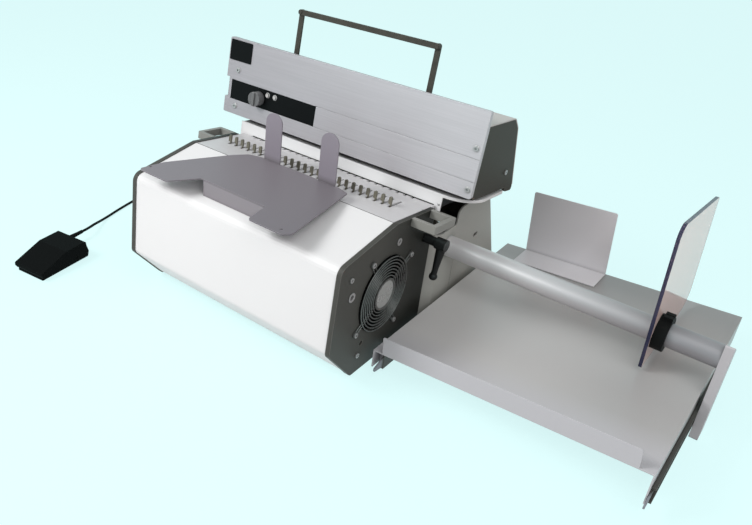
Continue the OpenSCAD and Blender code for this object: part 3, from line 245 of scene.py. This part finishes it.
# Painted highlight along edges: the Edge Color is mixed in where the bevelled normal turns from the flat one, as if
# rounded edges caught the light
def edgeGroup():
    inputs = [("Color", colorKind, grey), ("Edge Color", colorKind, (0.8, 0.8, 0.8, 1)),
              ("Radius", floatKind, 0.0008), ("Amount", floatKind, 0.5)]
    group, start, end = makeGroup("softEdge", inputs, [("Color", colorKind), ("Normal", vectorKind)])
    bevel = addNode(group, "ShaderNodeBevel", {"Radius": start.outputs["Radius"]}, samples=6)
    flat = addNode(group, "ShaderNodeNewGeometry")
    facing = addNode(group, "ShaderNodeVectorMath", {
        0: bevel.outputs["Normal"], 1: flat.outputs["Normal"]}, operation="DOT_PRODUCT")
    edge = addNode(group, "ShaderNodeMapRange", {
        "Value": facing.outputs["Value"], "From Min": 0.98, "From Max": 0.8, "To Min": 0.0, "To Max": 1.0})
    share = addNode(group, "ShaderNodeMath", {
        0: edge.outputs["Result"], 1: start.outputs["Amount"]}, operation="MULTIPLY")
    mix = addNode(group, "ShaderNodeMix", {
        "Factor": share.outputs[0], "A": start.outputs["Color"], "B": start.outputs["Edge Color"]}, data_type="RGBA")
    group.links.new(mix.outputs["Result"], end.inputs["Color"])
    group.links.new(bevel.outputs["Normal"], end.inputs["Normal"])
    return group


def brushGroup():
    inputs = [("Color", colorKind, grey), ("Amount", floatKind, 0.12), ("Stretch", vectorKind, (6, 900, 900)),
              ("Roughness", floatKind, 0.35), ("Spread", floatKind, 0.12), ("Depth", floatKind, 0.00002),
              ("Normal", vectorKind, (0, 0, 0))]
    outputs = [("Color", colorKind), ("Roughness", floatKind), ("Normal", vectorKind)]
    group, start, end = makeGroup("brushedLines", inputs, outputs)
    place = addNode(group, "ShaderNodeTexCoord")
    pulled = addNode(group, "ShaderNodeVectorMath", {
        0: place.outputs["Object"], 1: start.outputs["Stretch"]}, operation="MULTIPLY")
    lines = addNode(group, "ShaderNodeTexNoise", {
        "Vector": pulled.outputs["Vector"], "Scale": 1.0, "Detail": 4.0, "Roughness": 0.7})
    centred = addNode(group, "ShaderNodeMath", {0: lines.outputs["Fac"], 1: 0.5}, operation="SUBTRACT")
    gain = addNode(group, "ShaderNodeMath", {
        0: centred.outputs[0], 1: start.outputs["Amount"], 2: 1.0}, operation="MULTIPLY_ADD")
    shade = addNode(group, "ShaderNodeVectorMath", {
        0: start.outputs["Color"], "Scale": gain.outputs[0]}, operation="SCALE")
    rough = addNode(group, "ShaderNodeMath", {
        0: centred.outputs[0], 1: start.outputs["Spread"], 2: start.outputs["Roughness"]}, operation="MULTIPLY_ADD")
    bump = addNode(group, "ShaderNodeBump", {
        "Height": lines.outputs["Fac"], "Distance": start.outputs["Depth"], "Strength": 1.0,
        "Normal": start.outputs["Normal"]})
    group.links.new(shade.outputs["Vector"], end.inputs["Color"])
    group.links.new(rough.outputs[0], end.inputs["Roughness"])
    group.links.new(bump.outputs["Normal"], end.inputs["Normal"])
    return group


# Painted shade in corners, crevices, grooves and screw sockets: the colour darkens where ambient occlusion finds near
# surfaces
def cavityGroup():
    inputs = [("Color", colorKind, grey), ("Reach", floatKind, 0.006), ("Amount", floatKind, 0.6)]
    group, start, end = makeGroup("cavityShade", inputs, [("Color", colorKind)])
    openness = addNode(group, "ShaderNodeAmbientOcclusion", {"Distance": start.outputs["Reach"]}, samples=8)
    shut = addNode(group, "ShaderNodeMath", {0: 1.0, 1: openness.outputs["AO"]}, operation="SUBTRACT")
    share = addNode(group, "ShaderNodeMath", {0: shut.outputs[0], 1: start.outputs["Amount"]}, operation="MULTIPLY")
    gain = addNode(group, "ShaderNodeMath", {0: 1.0, 1: share.outputs[0]}, operation="SUBTRACT")
    shade = addNode(group, "ShaderNodeVectorMath", {
        0: start.outputs["Color"], "Scale": gain.outputs[0]}, operation="SCALE")
    group.links.new(shade.outputs["Vector"], end.inputs["Color"])
    return group


# 1 on one side of a plane across the piece and 0 on the other, with a soft step
def sideGroup():
    inputs = [("Way", vectorKind, (1, 0, 0)), ("Place", floatKind, 0.0), ("Width", floatKind, 0.0005)]
    group, start, end = makeGroup("sideOfPlane", inputs, [("Mask", floatKind)])
    place = addNode(group, "ShaderNodeTexCoord")
    along = addNode(group, "ShaderNodeVectorMath", {
        0: place.outputs["Object"], 1: start.outputs["Way"]}, operation="DOT_PRODUCT")
    past = addNode(group, "ShaderNodeMath", {
        0: along.outputs["Value"], 1: start.outputs["Place"]}, operation="SUBTRACT")
    steps = addNode(group, "ShaderNodeMath", {0: past.outputs[0], 1: start.outputs["Width"]}, operation="DIVIDE")
    centred = addNode(group, "ShaderNodeMath", {0: steps.outputs[0], 1: 0.5}, operation="ADD", use_clamp=True)
    group.links.new(centred.outputs[0], end.inputs["Mask"])
    return group


# 1 near a point of the piece and 0 away from it, with a soft step
def spotGroup():
    inputs = [("Centre", vectorKind, (0, 0, 0)), ("Radius", floatKind, 0.02), ("Width", floatKind, 0.001)]
    group, start, end = makeGroup("nearPoint", inputs, [("Mask", floatKind)])
    place = addNode(group, "ShaderNodeTexCoord")
    away = addNode(group, "ShaderNodeVectorMath", {
        0: place.outputs["Object"], 1: start.outputs["Centre"]}, operation="DISTANCE")
    left = addNode(group, "ShaderNodeMath", {
        0: start.outputs["Radius"], 1: away.outputs["Value"]}, operation="SUBTRACT")
    steps = addNode(group, "ShaderNodeMath", {0: left.outputs[0], 1: start.outputs["Width"]}, operation="DIVIDE")
    centred = addNode(group, "ShaderNodeMath", {0: steps.outputs[0], 1: 0.5}, operation="ADD", use_clamp=True)
    group.links.new(centred.outputs[0], end.inputs["Mask"])
    return group


groups = {"grain": grainGroup(), "patina": patinaGroup(), "edge": edgeGroup(), "brush": brushGroup(),
          "cavity": cavityGroup(), "side": sideGroup(), "spot": spotGroup()}
print("shader groups made:", len(groups))


def useGroup(tree, name, links):
    return addNode(tree, "ShaderNodeGroup", links, node_tree=groups[name])


def newMaterial(name):
    material = bpy.data.materials.new(name)
    material.use_nodes = True
    tree = material.node_tree
    tree.nodes.clear()
    surface = addNode(tree, "ShaderNodeBsdfPrincipled")
    addNode(tree, "ShaderNodeOutputMaterial", {"Surface": surface.outputs["BSDF"]})
    return material, tree, surface


def wide(color):
    return (*color, 1.0)


def mixColors(tree, factor, first, second):
    return addNode(tree, "ShaderNodeMix", {"Factor": factor, "A": first, "B": second}, data_type="RGBA")


# A tone further along one way: from where, in metres of the row's frame, over what width, to which colour
def tone(way, place, width, color):
    return {"way": way, "place": place, "width": width, "color": color}


# A tone round a point, within a radius
def spot(centre, radius, width, color):
    return {"centre": centre, "radius": radius, "width": width, "color": color}


def toned(tree, color, tones):
    shade = wide(color)
    for t in tones or []:
        if "way" in t:
            mask = useGroup(tree, "side", {"Way": t["way"], "Place": t["place"], "Width": t["width"]})
        else:
            mask = useGroup(tree, "spot", {"Centre": t["centre"], "Radius": t["radius"], "Width": t["width"]})
        shade = mixColors(tree, mask.outputs["Mask"], shade, wide(t["color"])).outputs["Result"]
    return shade


# A coat of paint or moulded plastic: cloudy tone, painted highlights along the edges, painted shade in the corners
# and a fine grain
def coatMaterial(name, color, roughness=0.42, edge=None, amount=0.35, radius=0.0007, grain=1400.0,
                 depth=0.00002, coat=0.0, patina=0.03, specular=0.5, cavity=0.45, reach=0.006, tones=None):
    material, tree, surface = newMaterial(name)
    first = toned(tree, color, tones)
    cloud = useGroup(tree, "patina", {"Color": first, "Amount": patina, "Roughness": roughness})
    lip = useGroup(tree, "edge", {
        "Color": cloud.outputs["Color"], "Edge Color": wide(edge or color), "Amount": amount, "Radius": radius})
    corners = useGroup(tree, "cavity", {"Color": lip.outputs["Color"], "Amount": cavity, "Reach": reach})
    fine = useGroup(tree, "grain", {"Scale": grain, "Depth": depth, "Normal": lip.outputs["Normal"]})
    tree.links.new(corners.outputs["Color"], surface.inputs["Base Color"])
    tree.links.new(cloud.outputs["Roughness"], surface.inputs["Roughness"])
    tree.links.new(fine.outputs["Normal"], surface.inputs["Normal"])
    surface.inputs["Coat Weight"].default_value = coat
    surface.inputs["Specular IOR Level"].default_value = specular
    return material


# Metal with brushed or drawn lines along one way
# edgeHighlight sets how much painted highlight the edges get
def brushedMaterial(name, color, roughness=0.36, stretch=(6, 900, 900), amount=0.14, metallic=0.9, edge=None,
                    depth=0.00002, edgeHighlight=0.5, radius=0.0006, cavity=0.5, reach=0.004, specular=0.5, tones=None):
    material, tree, surface = newMaterial(name)
    first = toned(tree, color, tones)
    lip = useGroup(tree, "edge", {
        "Color": first, "Edge Color": wide(edge or color), "Amount": edgeHighlight, "Radius": radius})
    corners = useGroup(tree, "cavity", {"Color": lip.outputs["Color"], "Amount": cavity, "Reach": reach})
    lines = useGroup(tree, "brush", {
        "Color": corners.outputs["Color"], "Amount": amount, "Stretch": stretch, "Roughness": roughness,
        "Depth": depth, "Normal": lip.outputs["Normal"]})
    tree.links.new(lines.outputs["Color"], surface.inputs["Base Color"])
    tree.links.new(lines.outputs["Roughness"], surface.inputs["Roughness"])
    tree.links.new(lines.outputs["Normal"], surface.inputs["Normal"])
    surface.inputs["Metallic"].default_value = metallic
    surface.inputs["Specular IOR Level"].default_value = specular
    return material


# Clear sheet: pale faces, and dark edges painted as shade, as the edges look where the light is led through the sheet
def clearMaterial(name, face, rim, through=0.38, index=1.2, roughness=0.06):
    material, tree, surface = newMaterial(name)
    place = addNode(tree, "ShaderNodeTexCoord")
    apart = addNode(tree, "ShaderNodeSeparateXYZ", {"Vector": place.outputs["Normal"]})
    across = addNode(tree, "ShaderNodeMath", {0: apart.outputs["X"]}, operation="ABSOLUTE")
    onFace = addNode(tree, "ShaderNodeMath", {0: across.outputs[0], 1: 0.5}, operation="GREATER_THAN")
    cloud = useGroup(tree, "patina", {"Color": wide(face), "Amount": 0.03, "Roughness": roughness, "Spread": 0.04})
    mix = mixColors(tree, onFace.outputs[0], wide(rim), cloud.outputs["Color"])
    tree.links.new(mix.outputs["Result"], surface.inputs["Base Color"])
    tree.links.new(cloud.outputs["Roughness"], surface.inputs["Roughness"])
    surface.inputs["Transmission Weight"].default_value = through
    surface.inputs["IOR"].default_value = index
    return material


# Ways and places that the finishes' tones and the small pieces use
right, back, front, up, down = (1, 0, 0), (0, 1, 0), (0, -1, 0), (0, 0, 1), (0, 0, -1)
downRight = (0.894, 0, -0.447)
slopeUp = (0, math.sin(tilt), math.cos(tilt))
slopeFront = (0, -math.cos(tilt), math.sin(tilt))
gapShadow = {"behindEdge": 2.3, "width": 0.0004, "color": (0.02, 0.02, 0.02)}  # painted shadow: the table's front face painted dark, as the shade in the gap at the table's front
gapShadowPlace = Vector(slopeFront).dot(onTable(0, gapShadow["behindEdge"], 0))
hub = tuple(machine(216, 130.5, 127.5))  # middle of the fan guard
materials = {
    "white": coatMaterial("whiteCoat", (0.83, 0.83, 0.832), 0.45, grain=1700.0, depth=0.000015, patina=0.015,
                          cavity=0.3, specular=0.3),
    # Painted shade: the end plates darker towards the back, where they lie in shade; painted highlight along their
    # edges
    "endGrey": coatMaterial("endGrey", (0.072, 0.070, 0.063), 0.45, (0.25, 0.245, 0.225), 0.8, 0.0018, specular=0.15,
                            tones=[tone(back, -0.06, 0.12, (0.022, 0.022, 0.019))]),
    # Painted shadow: the table's front face dark, as the shaded gap along it
    "table": brushedMaterial("tableAlloy", (0.66, 0.65, 0.66), 0.45, (7, 500, 500), 0.16, 0.15, specular=0.3,
                             tones=[tone(slopeFront, gapShadowPlace, gapShadow["width"], gapShadow["color"])]),
    "pale": coatMaterial("paleCoat", (0.55, 0.54, 0.56), 0.4, (0.62, 0.62, 0.62), 0.5, 0.0009, specular=0.3),
    "headShell": coatMaterial("headShell", (0.60, 0.57, 0.55), 0.45, (0.7, 0.69, 0.68), 0.5, 0.0009, specular=0.3),
    "loop": coatMaterial("loopGrey", (0.27, 0.27, 0.25), 0.42, (0.42, 0.42, 0.40), 0.6, 0.0012, cavity=0.6,
                         reach=0.012, specular=0.3),
    # Painted light on the tray: painted shade to the right where the light falls off, a purple-grey painted
    # reflection of the lip along the front, and painted shade at the back under the head's overhang
    "trayCoat": coatMaterial("trayCoat", (0.72, 0.71, 0.70), 0.36, (0.75, 0.75, 0.75), 0.6, 0.0009, specular=0.4,
                             tones=[tone(right, 0.24, 0.40, (0.46, 0.455, 0.45)),
                                    tone(front, 0.075, 0.07, (0.55, 0.545, 0.57)),
                                    tone(back, 0.24, 0.14, (0.38, 0.38, 0.38))]),
    # Painted light: the back guide lighter towards its lower right
    "guideCoat": coatMaterial("guideCoat", (0.42, 0.42, 0.43), 0.4, (0.8, 0.8, 0.82), 0.5, 0.0009, specular=0.3,
                              tones=[tone(downRight, 0.10, 0.18, (0.92, 0.91, 0.94))]),
    # Painted light on the paper rest: painted shade towards the right, and the upright arms and the front flap
    # painted lighter as lit faces of the same sheet
    "mauve": coatMaterial("mauveCoat", (0.215, 0.195, 0.215), 0.42, (0.32, 0.30, 0.33), 0.6, 0.0009, specular=0.3,
                          tones=[tone(right, -0.06, 0.3, (0.165, 0.150, 0.168)),
                                 tone(up, 0.258, 0.01, (0.28, 0.255, 0.295)),
                                 tone(down, -0.2475, 0.001, (0.27, 0.25, 0.27))]),
    "olive": coatMaterial("oliveCoat", (0.054, 0.050, 0.041), 0.5, (0.24, 0.23, 0.205), 0.7, 0.0018, specular=0.12),
    "side": coatMaterial("sideCoat", (0.44, 0.44, 0.41), 0.45, (0.62, 0.61, 0.58), 0.7, 0.0014, specular=0.2,
                         cavity=0.6, reach=0.01),
    "rear": coatMaterial("rearCoat", (0.30, 0.30, 0.28), 0.45, (0.48, 0.47, 0.44), 0.6, 0.0012, specular=0.2),
    # Painted light: the head plate lighter towards its right end, with painted highlights on its edges
    "headAlloy": brushedMaterial("headAlloy", (0.40, 0.38, 0.405), 0.42, (6, 420, 420), 0.30, 0.25,
                                 (0.80, 0.79, 0.80), specular=0.3,
                                 tones=[tone(right, -0.14, 0.46, (0.56, 0.545, 0.57))]),
    # Painted shade: the tube darker towards its right end, where the light falls off
    "tube": brushedMaterial("tubeAlloy", (0.86, 0.84, 0.845), 0.40, (5, 500, 500), 0.06, 0.25,
                            tones=[tone(right, 0.26, 0.44, (0.29, 0.28, 0.295))]),
    "hook": brushedMaterial("hookSteel", (0.17, 0.155, 0.12), 0.36, (400, 400, 60), 0.3, 0.6, (0.46, 0.43, 0.37)),
    "toolSteel": brushedMaterial("toolSteel", (0.26, 0.25, 0.22), 0.36, (400, 400, 30), 0.3, 0.85,
                                 (0.55, 0.52, 0.46)),
    "darkSteel": brushedMaterial("darkSteel", (0.02, 0.02, 0.02), 0.5, (30, 400, 400), 0.3, 0.3, (0.06, 0.06, 0.06),
                                 specular=0.1),
    # Painted shade: the die block near-black, so its faces seen through the notches and the throat read as shade; its
    # top is white
    "dieSteel": brushedMaterial("dieSteel", (0.02, 0.02, 0.02), 0.5, (30, 400, 400), 0.3, 0.0, specular=0.1,
                                tones=[tone(slopeUp, 0.2500, 0.0004, (0.70, 0.70, 0.70))]),
    # Painted shade: the slide rails near-black behind their front ends, where they lie in shade inside the tray's
    # flanges; the front ends paler
    "rail": brushedMaterial("railSteel", (0.10, 0.095, 0.088), 0.45, (400, 6, 400), 0.15, 0.3, (0.34, 0.33, 0.31),
                            specular=0.1, tones=[tone(front, 0.1265, 0.006, (0.26, 0.26, 0.29))]),
    "wire": brushedMaterial("brightWire", (0.13, 0.127, 0.122), 0.28, (60, 60, 60), 0.06, 0.6, cavity=0.5,
                            tones=[spot(hub, 0.0235, 0.001, (0.50, 0.50, 0.49))]),
    # Painted shade in the screws' sockets, from the corner shading at full amount
    "screw": brushedMaterial("screwSteel", (0.46, 0.44, 0.44), 0.32, (300, 300, 300), 0.10, 0.6, cavity=1.0,
                             reach=0.003),
    "rim": brushedMaterial("rimSteel", (0.62, 0.60, 0.59), 0.32, (300, 300, 300), 0.10, 0.4, cavity=0.4),
    "bail": brushedMaterial("bailSteel", (0.058, 0.054, 0.046), 0.5, (60, 300, 60), 0.9, 0.3, (0.26, 0.25, 0.23),
                            specular=0.15),
    "black": coatMaterial("blackPlastic", (0.007, 0.0075, 0.0075), 0.5, (0.022, 0.022, 0.022), 0.5, 0.0008,
                          grain=900.0, depth=0.00004, specular=0.06),
    "leverBlack": coatMaterial("leverBlack", (0.010, 0.010, 0.010), 0.38, (0.05, 0.05, 0.05), 0.6, 0.0012,
                               grain=900.0, depth=0.00003, specular=0.28),
    "pedalBlack": coatMaterial("pedalBlack", (0.004, 0.0045, 0.0045), 0.6, (0.014, 0.014, 0.014), 0.4, 0.0010,
                               grain=700.0, depth=0.00004, specular=0.03),
    "strip": coatMaterial("stripFilm", (0.006, 0.007, 0.0075), 0.4, (0.018, 0.018, 0.018), 0.3, specular=0.05),
    "knob": coatMaterial("knobGrey", (0.15, 0.152, 0.155), 0.35, (0.5, 0.5, 0.5), 0.6, 0.0010, specular=0.3),
    "button": coatMaterial("buttonGrey", (0.55, 0.54, 0.53), 0.35, (0.7, 0.7, 0.7), 0.5, 0.0006, cavity=0.8),
    "switch": coatMaterial("switchTeal", (0.02, 0.05, 0.07), 0.35, (0.08, 0.12, 0.14), 0.5, 0.0006),
    "clear": clearMaterial("clearSheet", (0.97, 0.77, 0.73), (0.05, 0.055, 0.11)),
    "rubber": coatMaterial("blackRubber", (0.008, 0.008, 0.008), 0.6, (0.018, 0.018, 0.018), 0.4, specular=0.06),
    "board": coatMaterial("boardGreen", (0.03, 0.14, 0.06), 0.4, (0.2, 0.3, 0.2), 0.3),
    "blades": coatMaterial("fanBlades", (0.008, 0.008, 0.008), 0.5, (0.03, 0.03, 0.03), 0.4, specular=0.08),
}

nodeMaterials = {
    "white": ["front_cover", "lower_guide"],
    "endGrey": ["left_end_plate", "right_end_plate", "base_plate", "shaft_bearings", "drive_motor"],
    "table": ["comb_table"],
    "pale": ["end_post"],
    "headShell": ["head_cover"],
    "loop": ["left_grip_loop", "right_grip_loop"],
    "trayCoat": ["stacker_tray"],
    "guideCoat": ["back_guide"],
    "mauve": ["paper_rest"],
    "olive": ["head_left_cap", "head_right_cap", "bulkhead"],
    "side": ["left_side_panel", "right_side_panel"],
    "rear": ["rear_cover", "chip_drawer"],
    "headAlloy": ["head_plate"],
    "tube": ["stacker_tube", "shaft_pulley", "motor_pulley"],
    "hook": ["hook_rake"],
    "toolSteel": ["punch_beam", "punch_pins", "eccentric_shaft"],
    "darkSteel": ["punch_frame"],
    "dieSteel": ["die_block"],
    "rail": ["slide_rails"],
    "wire": ["fan_guard"],
    "screw": ["machine_screws"],
    "bail": ["bail_left_bar", "bail_right_bar", "bail_top_bar", "bail_lugs"],
    "black": ["inlet_socket", "cable_gland", "stop_collar", "pedal_strain_relief", "fan_frame"],
    "leverBlack": ["clamp_lever"],
    "pedalBlack": ["pedal_base", "pedal_treadle"],
    "switch": ["power_switch"],
    "strip": ["control_strip"],
    "knob": ["selector_knob"],
    "button": ["start_button", "reverse_button"],
    "clear": ["clear_stop"],
    "rubber": ["rubber_feet", "drive_belt", "cable_lead", "cable_coil", "cable_run"],
    "board": ["control_board"],
    "blades": ["fan_rotor"],
}


def dressNodes(table):
    dressed = 0
    for name, members in table.items():
        for member in members:
            slots = nodes[member].data.materials
            slots.clear()
            slots.append(materials[name])
            dressed += 1
    return dressed


print("materials on", dressNodes(nodeMaterials), "nodes")
pedalCable.data.materials.append(materials["rubber"])


# Finished meshes of the scene's own pieces, all on the machine's body
def finishPiece(name, mesh, finish):
    data = bpy.data.meshes.new(name)
    mesh.to_mesh(data)
    mesh.free()
    piece = bpy.data.objects.new(name, data)
    scene.collection.objects.link(piece)
    data.materials.append(materials[finish])
    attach(piece, "machine")
    return piece


# Tie round the coil: a flat band through its middle and over its turns
tie = {"angle": -70, "width": 4, "thick": 0.7, "inside": (15.3, 45.8), "top": 11.4, "round": 2.2, "segments": 5}


def makeTie(t):
    inner, outer = t["inside"]
    size = (outer - inner, t["width"], t["top"] - t["thick"])
    mesh = bmesh.new()
    bmesh.ops.create_cube(mesh, size=1.0)
    bmesh.ops.scale(mesh, vec=size, verts=mesh.verts)
    sides = [f for f in mesh.faces if abs(f.normal.y) > 0.5]
    bmesh.ops.delete(mesh, geom=sides, context="FACES_ONLY")
    corners = [e for e in mesh.edges if abs((e.verts[0].co - e.verts[1].co).y) > t["width"] / 2]
    bmesh.ops.bevel(mesh, geom=corners, offset=t["round"], segments=t["segments"], profile=0.5, affect="EDGES",
                    material=-1)
    bmesh.ops.recalc_face_normals(mesh, faces=mesh.faces)
    bmesh.ops.solidify(mesh, geom=mesh.faces[:], thickness=-t["thick"])
    bmesh.ops.recalc_face_normals(mesh, faces=mesh.faces)
    bmesh.ops.translate(mesh, vec=((inner + outer) / 2, 0, size[2] / 2 + t["thick"]), verts=mesh.verts)
    turn = Matrix.Rotation(math.radians(t["angle"]), 3, "Z")
    bmesh.ops.rotate(mesh, cent=(0, 0, 0), matrix=turn, verts=mesh.verts)
    for v in mesh.verts:
        v.co = machine(v.co.x + cable["coilCentre"][0], v.co.y + cable["coilCentre"][1], v.co.z)
    return finishPiece("coil_tie", mesh, "black")


coilTie = makeTie(tie)
print("coil tied")

# Bare label plate at the head's upper left, with a raised rim
label = {"x": (-255, -203), "z": (131, 168), "front": 118.3, "thick": 0.8, "round": 2.0, "segments": 4, "rim": 1.2,
         "sunk": 0.3}


def makeLabel(p):
    (x0, x1), (z0, z1) = p["x"], p["z"]
    mesh = bmesh.new()
    bmesh.ops.create_cube(mesh, size=1.0)
    bmesh.ops.scale(mesh, vec=(x1 - x0, p["thick"], z1 - z0), verts=mesh.verts)
    corners = [e for e in mesh.edges if abs((e.verts[0].co - e.verts[1].co).y) > p["thick"] / 2]
    bmesh.ops.bevel(mesh, geom=corners, offset=p["round"], segments=p["segments"], profile=0.5, affect="EDGES",
                    material=-1)
    face = [f for f in mesh.faces if f.normal.y < -0.9]
    bmesh.ops.inset_region(mesh, faces=face, thickness=p["rim"], depth=-p["sunk"])
    for v in mesh.verts:
        v.co = onTable(v.co.x + (x0 + x1) / 2, v.co.y + p["front"] - p["thick"] / 2, v.co.z + (z0 + z1) / 2)
    bmesh.ops.recalc_face_normals(mesh, faces=mesh.faces)
    return finishPiece("label_plate", mesh, "strip")


makeLabel(label)
print("label plate set")


# Turned pieces: an outline of (radius, height) in millimetres, spun round an axis that starts at a place
def makeTurned(name, start, way, outline, finish, sides):
    mesh = bmesh.new()
    ends = [mesh.verts.new((radius, 0, height)) for radius, height in outline]
    edges = [mesh.edges.new(pair) for pair in zip(ends, ends[1:])]
    bmesh.ops.spin(mesh, geom=ends + edges, cent=(0, 0, 0), axis=(0, 0, 1), angle=math.tau, steps=sides,
                   use_merge=True, use_duplicate=False)
    bmesh.ops.remove_doubles(mesh, verts=mesh.verts, dist=1e-4)
    bmesh.ops.recalc_face_normals(mesh, faces=mesh.faces)
    turn = Vector(way).to_track_quat("Z", "Y").to_matrix().to_4x4()
    bmesh.ops.transform(mesh, matrix=Matrix.Translation(start) @ turn @ Matrix.Scale(mm, 4), verts=mesh.verts)
    return finishPiece(name, mesh, finish)


# Rims round the head's screws and buttons
rims = {
    "front": 118.3, "sides": 24,
    "screw": {"places": [(-231, 114.5), (-230, 47.5), (257, 111.5), (259, 45.5)],
              "outline": [(3.9, -0.2), (5.0, -0.2), (5.0, 0.5), (4.5, 0.9), (3.9, 0.7), (3.9, -0.2)]},
    "button": {"places": [(-155, 86.5), (-138, 86.5)],
               "outline": [(3.7, -0.2), (4.9, -0.2), (4.9, 0.4), (4.5, 0.7), (3.7, 0.5), (3.7, -0.2)]},
}
for kind in ("screw", "button"):
    for i, (x, z) in enumerate(rims[kind]["places"]):
        makeTurned(f"{kind}_rim_{i + 1}", onTable(x, rims["front"], z), slopeFront, rims[kind]["outline"],
                   "rim", rims["sides"])
    print(kind, "rims set:", len(rims[kind]["places"]))

# Ribbed strain relief of the pedal cable, in place of the plain one
relief = {
    "reach": 48.5, "sleeve": (5.4, 10.5), "chamfer": 0.8, "ribs": 6, "pitch": 4.4, "gap": 1.5, "from": 5.0, "to": 3.5,
    "dip": 1.1, "step": 0.2, "round": 0.3, "end": (0.6, 1.5), "sides": 20,
}


def reliefOutline(r):
    radius, length = r["sleeve"]
    cut = r["chamfer"]
    inset, taper = r["end"]
    outline = [(0, 0), (radius - cut, 0), (radius, cut), (radius, length - cut), (radius - inset, length)]
    for i in range(r["ribs"]):
        rib = r["from"] + (r["to"] - r["from"]) * i / r["ribs"]
        z = length + i * r["pitch"]
        outline += [(rib - r["dip"], z + r["step"]), (rib - r["dip"], z + r["gap"]),
                    (rib, z + r["gap"] + r["round"]), (rib, z + r["pitch"] - r["round"])]
    return outline + [(r["to"], r["reach"] - taper), (r["to"] - inset, r["reach"]), (0, r["reach"])]


reliefEnd, reliefWay = cableStart(cable)
reliefStart = reliefEnd - reliefWay * relief["reach"]
strainRelief = makeTurned("strain_relief", machine(*reliefStart), reliefWay, reliefOutline(relief),
                          "black", relief["sides"])
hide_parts("pedal_strain_relief")
print("strain relief turned")

# Small heads: the table's screw and the lower guide's end pin
heads = {"dome": [(0, 0.9), (1.3, 0.75), (2.3, 0.1), (2.3, -0.6), (0, -0.6)], "sides": 16,
         "places": [("table_screw", (206.4, 91.3, -1.5), slopeUp), ("strip_pin", (213, 129.2, 2.2), slopeFront)]}
for name, place, way in heads["places"]:
    makeTurned(name, onTable(*place), way, heads["dome"], "screw", heads["sides"])
print("small heads set:", len(heads["places"]))

# Floor, backdrop and light
stage = {"size": 14.0, "cells": 8, "below": 0.0005, "seen": (0.752, 1.0, 1.0), "own": 0.86, "lit": 0.2,
         "neutral": (0.8, 0.8, 0.8), "roughness": 0.9, "sky": 0.39}
softboxes = [
    {"name": "key", "from": (-0.44, -0.64, 0.64), "aim": (-0.12, -0.10, 0.20), "distance": 1.8, "power": 20.5,
     "size": 0.7},
    {"name": "fill", "from": (0.50, -0.42, 0.76), "aim": (0.20, 0.0, 0.10), "distance": 1.9, "power": 11.5,
     "size": 1.2},
]


# 1 for rays from the camera, and for those that metal or glass sends on
def seenRays(tree):
    path = addNode(tree, "ShaderNodeLightPath")
    glossy = addNode(tree, "ShaderNodeMath", {
        0: path.outputs["Is Camera Ray"], 1: path.outputs["Is Glossy Ray"]}, operation="MAXIMUM")
    both = addNode(tree, "ShaderNodeMath", {
        0: glossy.outputs[0], 1: path.outputs["Is Transmission Ray"]}, operation="MAXIMUM")
    return both.outputs[0]


def makeFloor(s):
    mesh = bmesh.new()
    bmesh.ops.create_grid(mesh, x_segments=s["cells"], y_segments=s["cells"], size=s["size"] / 2)
    data = bpy.data.meshes.new("floor")
    mesh.to_mesh(data)
    mesh.free()
    floor = bpy.data.objects.new("floor", data)
    scene.collection.objects.link(floor)
    floor.location.z = -s["below"]
    material, tree, surface = newMaterial("floor")
    seen = seenRays(tree)
    lit = [v * s["lit"] for v in s["seen"]]
    shown = mixColors(tree, seen, wide(s["neutral"]), wide(lit))
    glow = addNode(tree, "ShaderNodeMath", {0: seen, 1: s["own"]}, operation="MULTIPLY")
    tree.links.new(shown.outputs["Result"], surface.inputs["Base Color"])
    tree.links.new(glow.outputs[0], surface.inputs["Emission Strength"])
    surface.inputs["Emission Color"].default_value = wide(s["seen"])
    surface.inputs["Roughness"].default_value = s["roughness"]
    surface.inputs["Specular IOR Level"].default_value = 0.0
    data.materials.append(material)


def makeWorld(s):
    world = bpy.data.worlds.new("room")
    scene.world = world
    world.use_nodes = True
    tree = world.node_tree
    tree.nodes.clear()
    seen = seenRays(tree)
    shown = mixColors(tree, seen, (1, 1, 1, 1), wide(s["seen"]))
    level = addNode(tree, "ShaderNodeMix", {"Factor": seen, "A": s["sky"], "B": 1.0}, data_type="FLOAT")
    sky = addNode(tree, "ShaderNodeBackground", {
        "Color": shown.outputs["Result"], "Strength": level.outputs["Result"]})
    addNode(tree, "ShaderNodeOutputWorld", {"Surface": sky.outputs["Background"]})


def makeSoftbox(s):
    data = bpy.data.lights.new(s["name"], "AREA")
    data.size = s["size"]
    data.energy = s["power"]
    lamp = bpy.data.objects.new(s["name"], data)
    scene.collection.objects.link(lamp)
    way = Vector(s["from"]).normalized()
    lamp.location = Vector(s["aim"]) + way * s["distance"]
    lamp.rotation_mode = "QUATERNION"
    lamp.rotation_quaternion = (-way).to_track_quat("-Z", "Y")


makeFloor(stage)
makeWorld(stage)
for softbox in softboxes:
    makeSoftbox(softbox)
scene.view_settings.view_transform = "Standard"
print("stage set")
